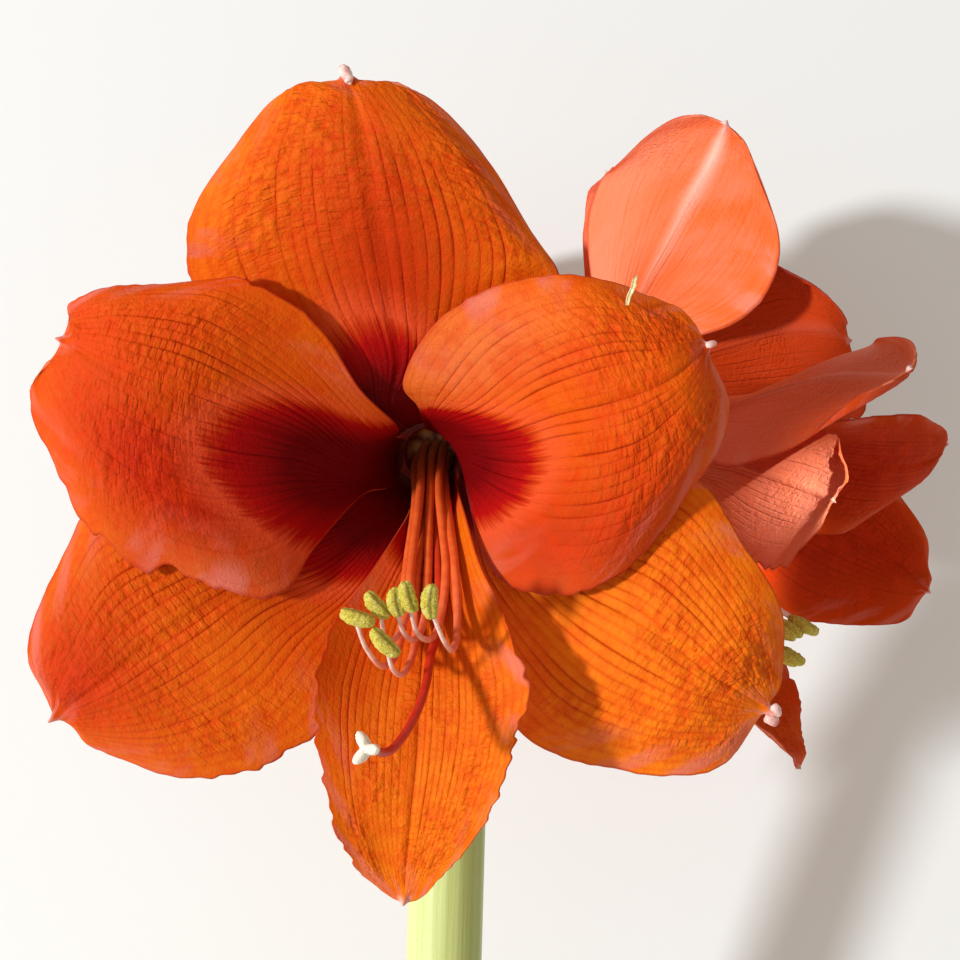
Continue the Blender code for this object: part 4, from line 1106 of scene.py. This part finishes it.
def add_scape(material):
    """The hollow stalk, slightly ribbed, with its wet cut end."""
    lean = Matrix.Translation(SCAPE_TOP * MM) @ Matrix.Rotation(SCAPE_LEAN, 4, "Y")
    stations, sides = SCAPE_GRID
    turn = circle(sides)
    depth = np.linspace(0, SCAPE_LENGTH, stations)[:, None]
    radius = np.interp(depth, (0, SCAPE_LENGTH / 3, SCAPE_LENGTH),
                       (SCAPE_TOP_RADIUS, SCAPE_THIRD_RADIUS, SCAPE_CUT_RADIUS))
    radius -= 1.5 * np.exp(-depth / 1.2)
    radius = radius * (1 + 0.006 * np.cos(16 * turn) + 0.006 * lumps(depth / 60, np.cos(turn), np.sin(turn)))
    cut_end = [(0.0, SCAPE_CUT_RADIUS - 0.5), (0.25, SCAPE_CUT_RADIUS - 1.6), (0.1, SCAPE_BORE + 1.2),
               (0.2, SCAPE_BORE + 0.3), (-0.6, SCAPE_BORE), (-SCAPE_BORE_DEPTH / 2, SCAPE_BORE - 0.3),
               (-SCAPE_BORE_DEPTH, SCAPE_BORE - 0.6), (-SCAPE_BORE_DEPTH - 1.2, 4.0), (-SCAPE_BORE_DEPTH - 2.0, 0.3)]
    rings = list(about_axis(radius, -depth, turn))
    for beyond, ring_radius in cut_end:
        rough = 0.12 * lumps(np.cos(turn) * 9, np.sin(turn) * 9, ring_radius) * (beyond > -1)
        rings.append(about_axis(ring_radius, -SCAPE_LENGTH - beyond - rough + 0.3, turn))
    rings = np.array(rings)[::-1]
    paint = plain_paint(rings.shape[:2])
    paint[:len(cut_end), :, 0] = 1.0
    add_loft("scape_skin", "scape", material, rings, LAID @ lean, paint)


def add_spathe_valve(name, facing, length, material):
    """A withered bract: it clasps the scape's top, hangs beside it and curls at its end."""
    along, across = sheet_grid(*SPATHE_GRID)
    half_turn = SPATHE_HALF_TURN * (1 - along) ** 0.8 + 0.03
    crumple = lumps(along * 9, across * 4, facing) + 0.5 * lumps(along * 22, across * 9, facing + 5)
    radius = SCAPE_TOP_RADIUS + 1.0 + 9.0 * along**2 + 0.7 * crumple * smoothstep(along, 0.1, 0.5)
    turn = facing + across * half_turn
    drop = 3.0 + length * along
    middle = np.stack([SCAPE_TOP.x + radius * np.cos(turn), radius * np.sin(turn), SCAPE_TOP.z - drop], axis=-1)
    add_sheet(f"{name}_paper", name, material, middle, surface_normals(middle) * 0.2, along, across, LAID)


def add_lamp(name, kind, power, aim, place):
    """A lamp that stands at a place seen from what it is aimed at."""
    lamp = bpy.data.objects.new(name, bpy.data.lights.new(name, kind))
    lamp.data.energy = power
    lamp.data.color = KEY_COLOUR
    turn = place.to_track_quat("Z", "Y").to_matrix().to_4x4()
    lamp.matrix_world = LAID @ Matrix.Translation(aim + place) @ turn
    scene.collection.objects.link(lamp)
    return lamp.data


def add_lights():
    key = add_lamp("key", "AREA", KEY_POWER, KEY_AIM, KEY_PLACE)
    key.shape = "DISK"
    key.size = KEY_SIZE
    accent = add_lamp("accent", "SPOT", ACCENT_POWER, ACCENT_AIM, ACCENT_PLACE)
    accent.spot_size = ACCENT_CONE
    accent.spot_blend = ACCENT_SOFT_EDGE
    accent.shadow_soft_size = ACCENT_LAMP_RADIUS
    world = bpy.data.worlds.new("studio")
    world.use_nodes = True
    background = world.node_tree.nodes["Background"]
    background.inputs["Color"].default_value = (*FILL_COLOUR, 1.0)
    background.inputs["Strength"].default_value = FILL_STRENGTH
    scene.world = world


def add_floor():
    mesh = bpy.data.meshes.new("floor")
    half = FLOOR_SIZE / 2
    mesh.from_pydata([(-half, -half, 0), (half, -half, 0), (half, half, 0), (-half, half, 0)], [], [(0, 1, 2, 3)])
    mesh.materials.append(floor_material())
    floor = bpy.data.objects.new("floor", mesh)
    scene.collection.objects.link(floor)


def build():
    scene.view_settings.view_transform = "Standard"
    add_camera()
    add_lights()
    add_floor()
    petals = {key: petal_material(f"petal_{key}") for key in BLOOMS}
    filament, style, anther = filament_material(), style_material(), anther_material()
    stigma, tube, spathe = stigma_material(), tube_material(), spathe_material()
    tip_skin = tip_material()
    add_scape(scape_material())
    for name, (facing, length) in SPATHE_VALVES.items():
        add_spathe_valve(name, facing, length, spathe)
    add_sliver(sliver_material())
    for key, bloom in BLOOMS.items():
        upright = bloom_matrix(bloom)
        matrix = LAID @ upright
        add_tepals(key, bloom, matrix, petals[key], tip_skin)
        add_pistil(key, bloom, matrix, style, stigma)
        add_stamens(key, bloom, matrix, filament, anther)
        add_tube(key, bloom, upright, tube)


build()
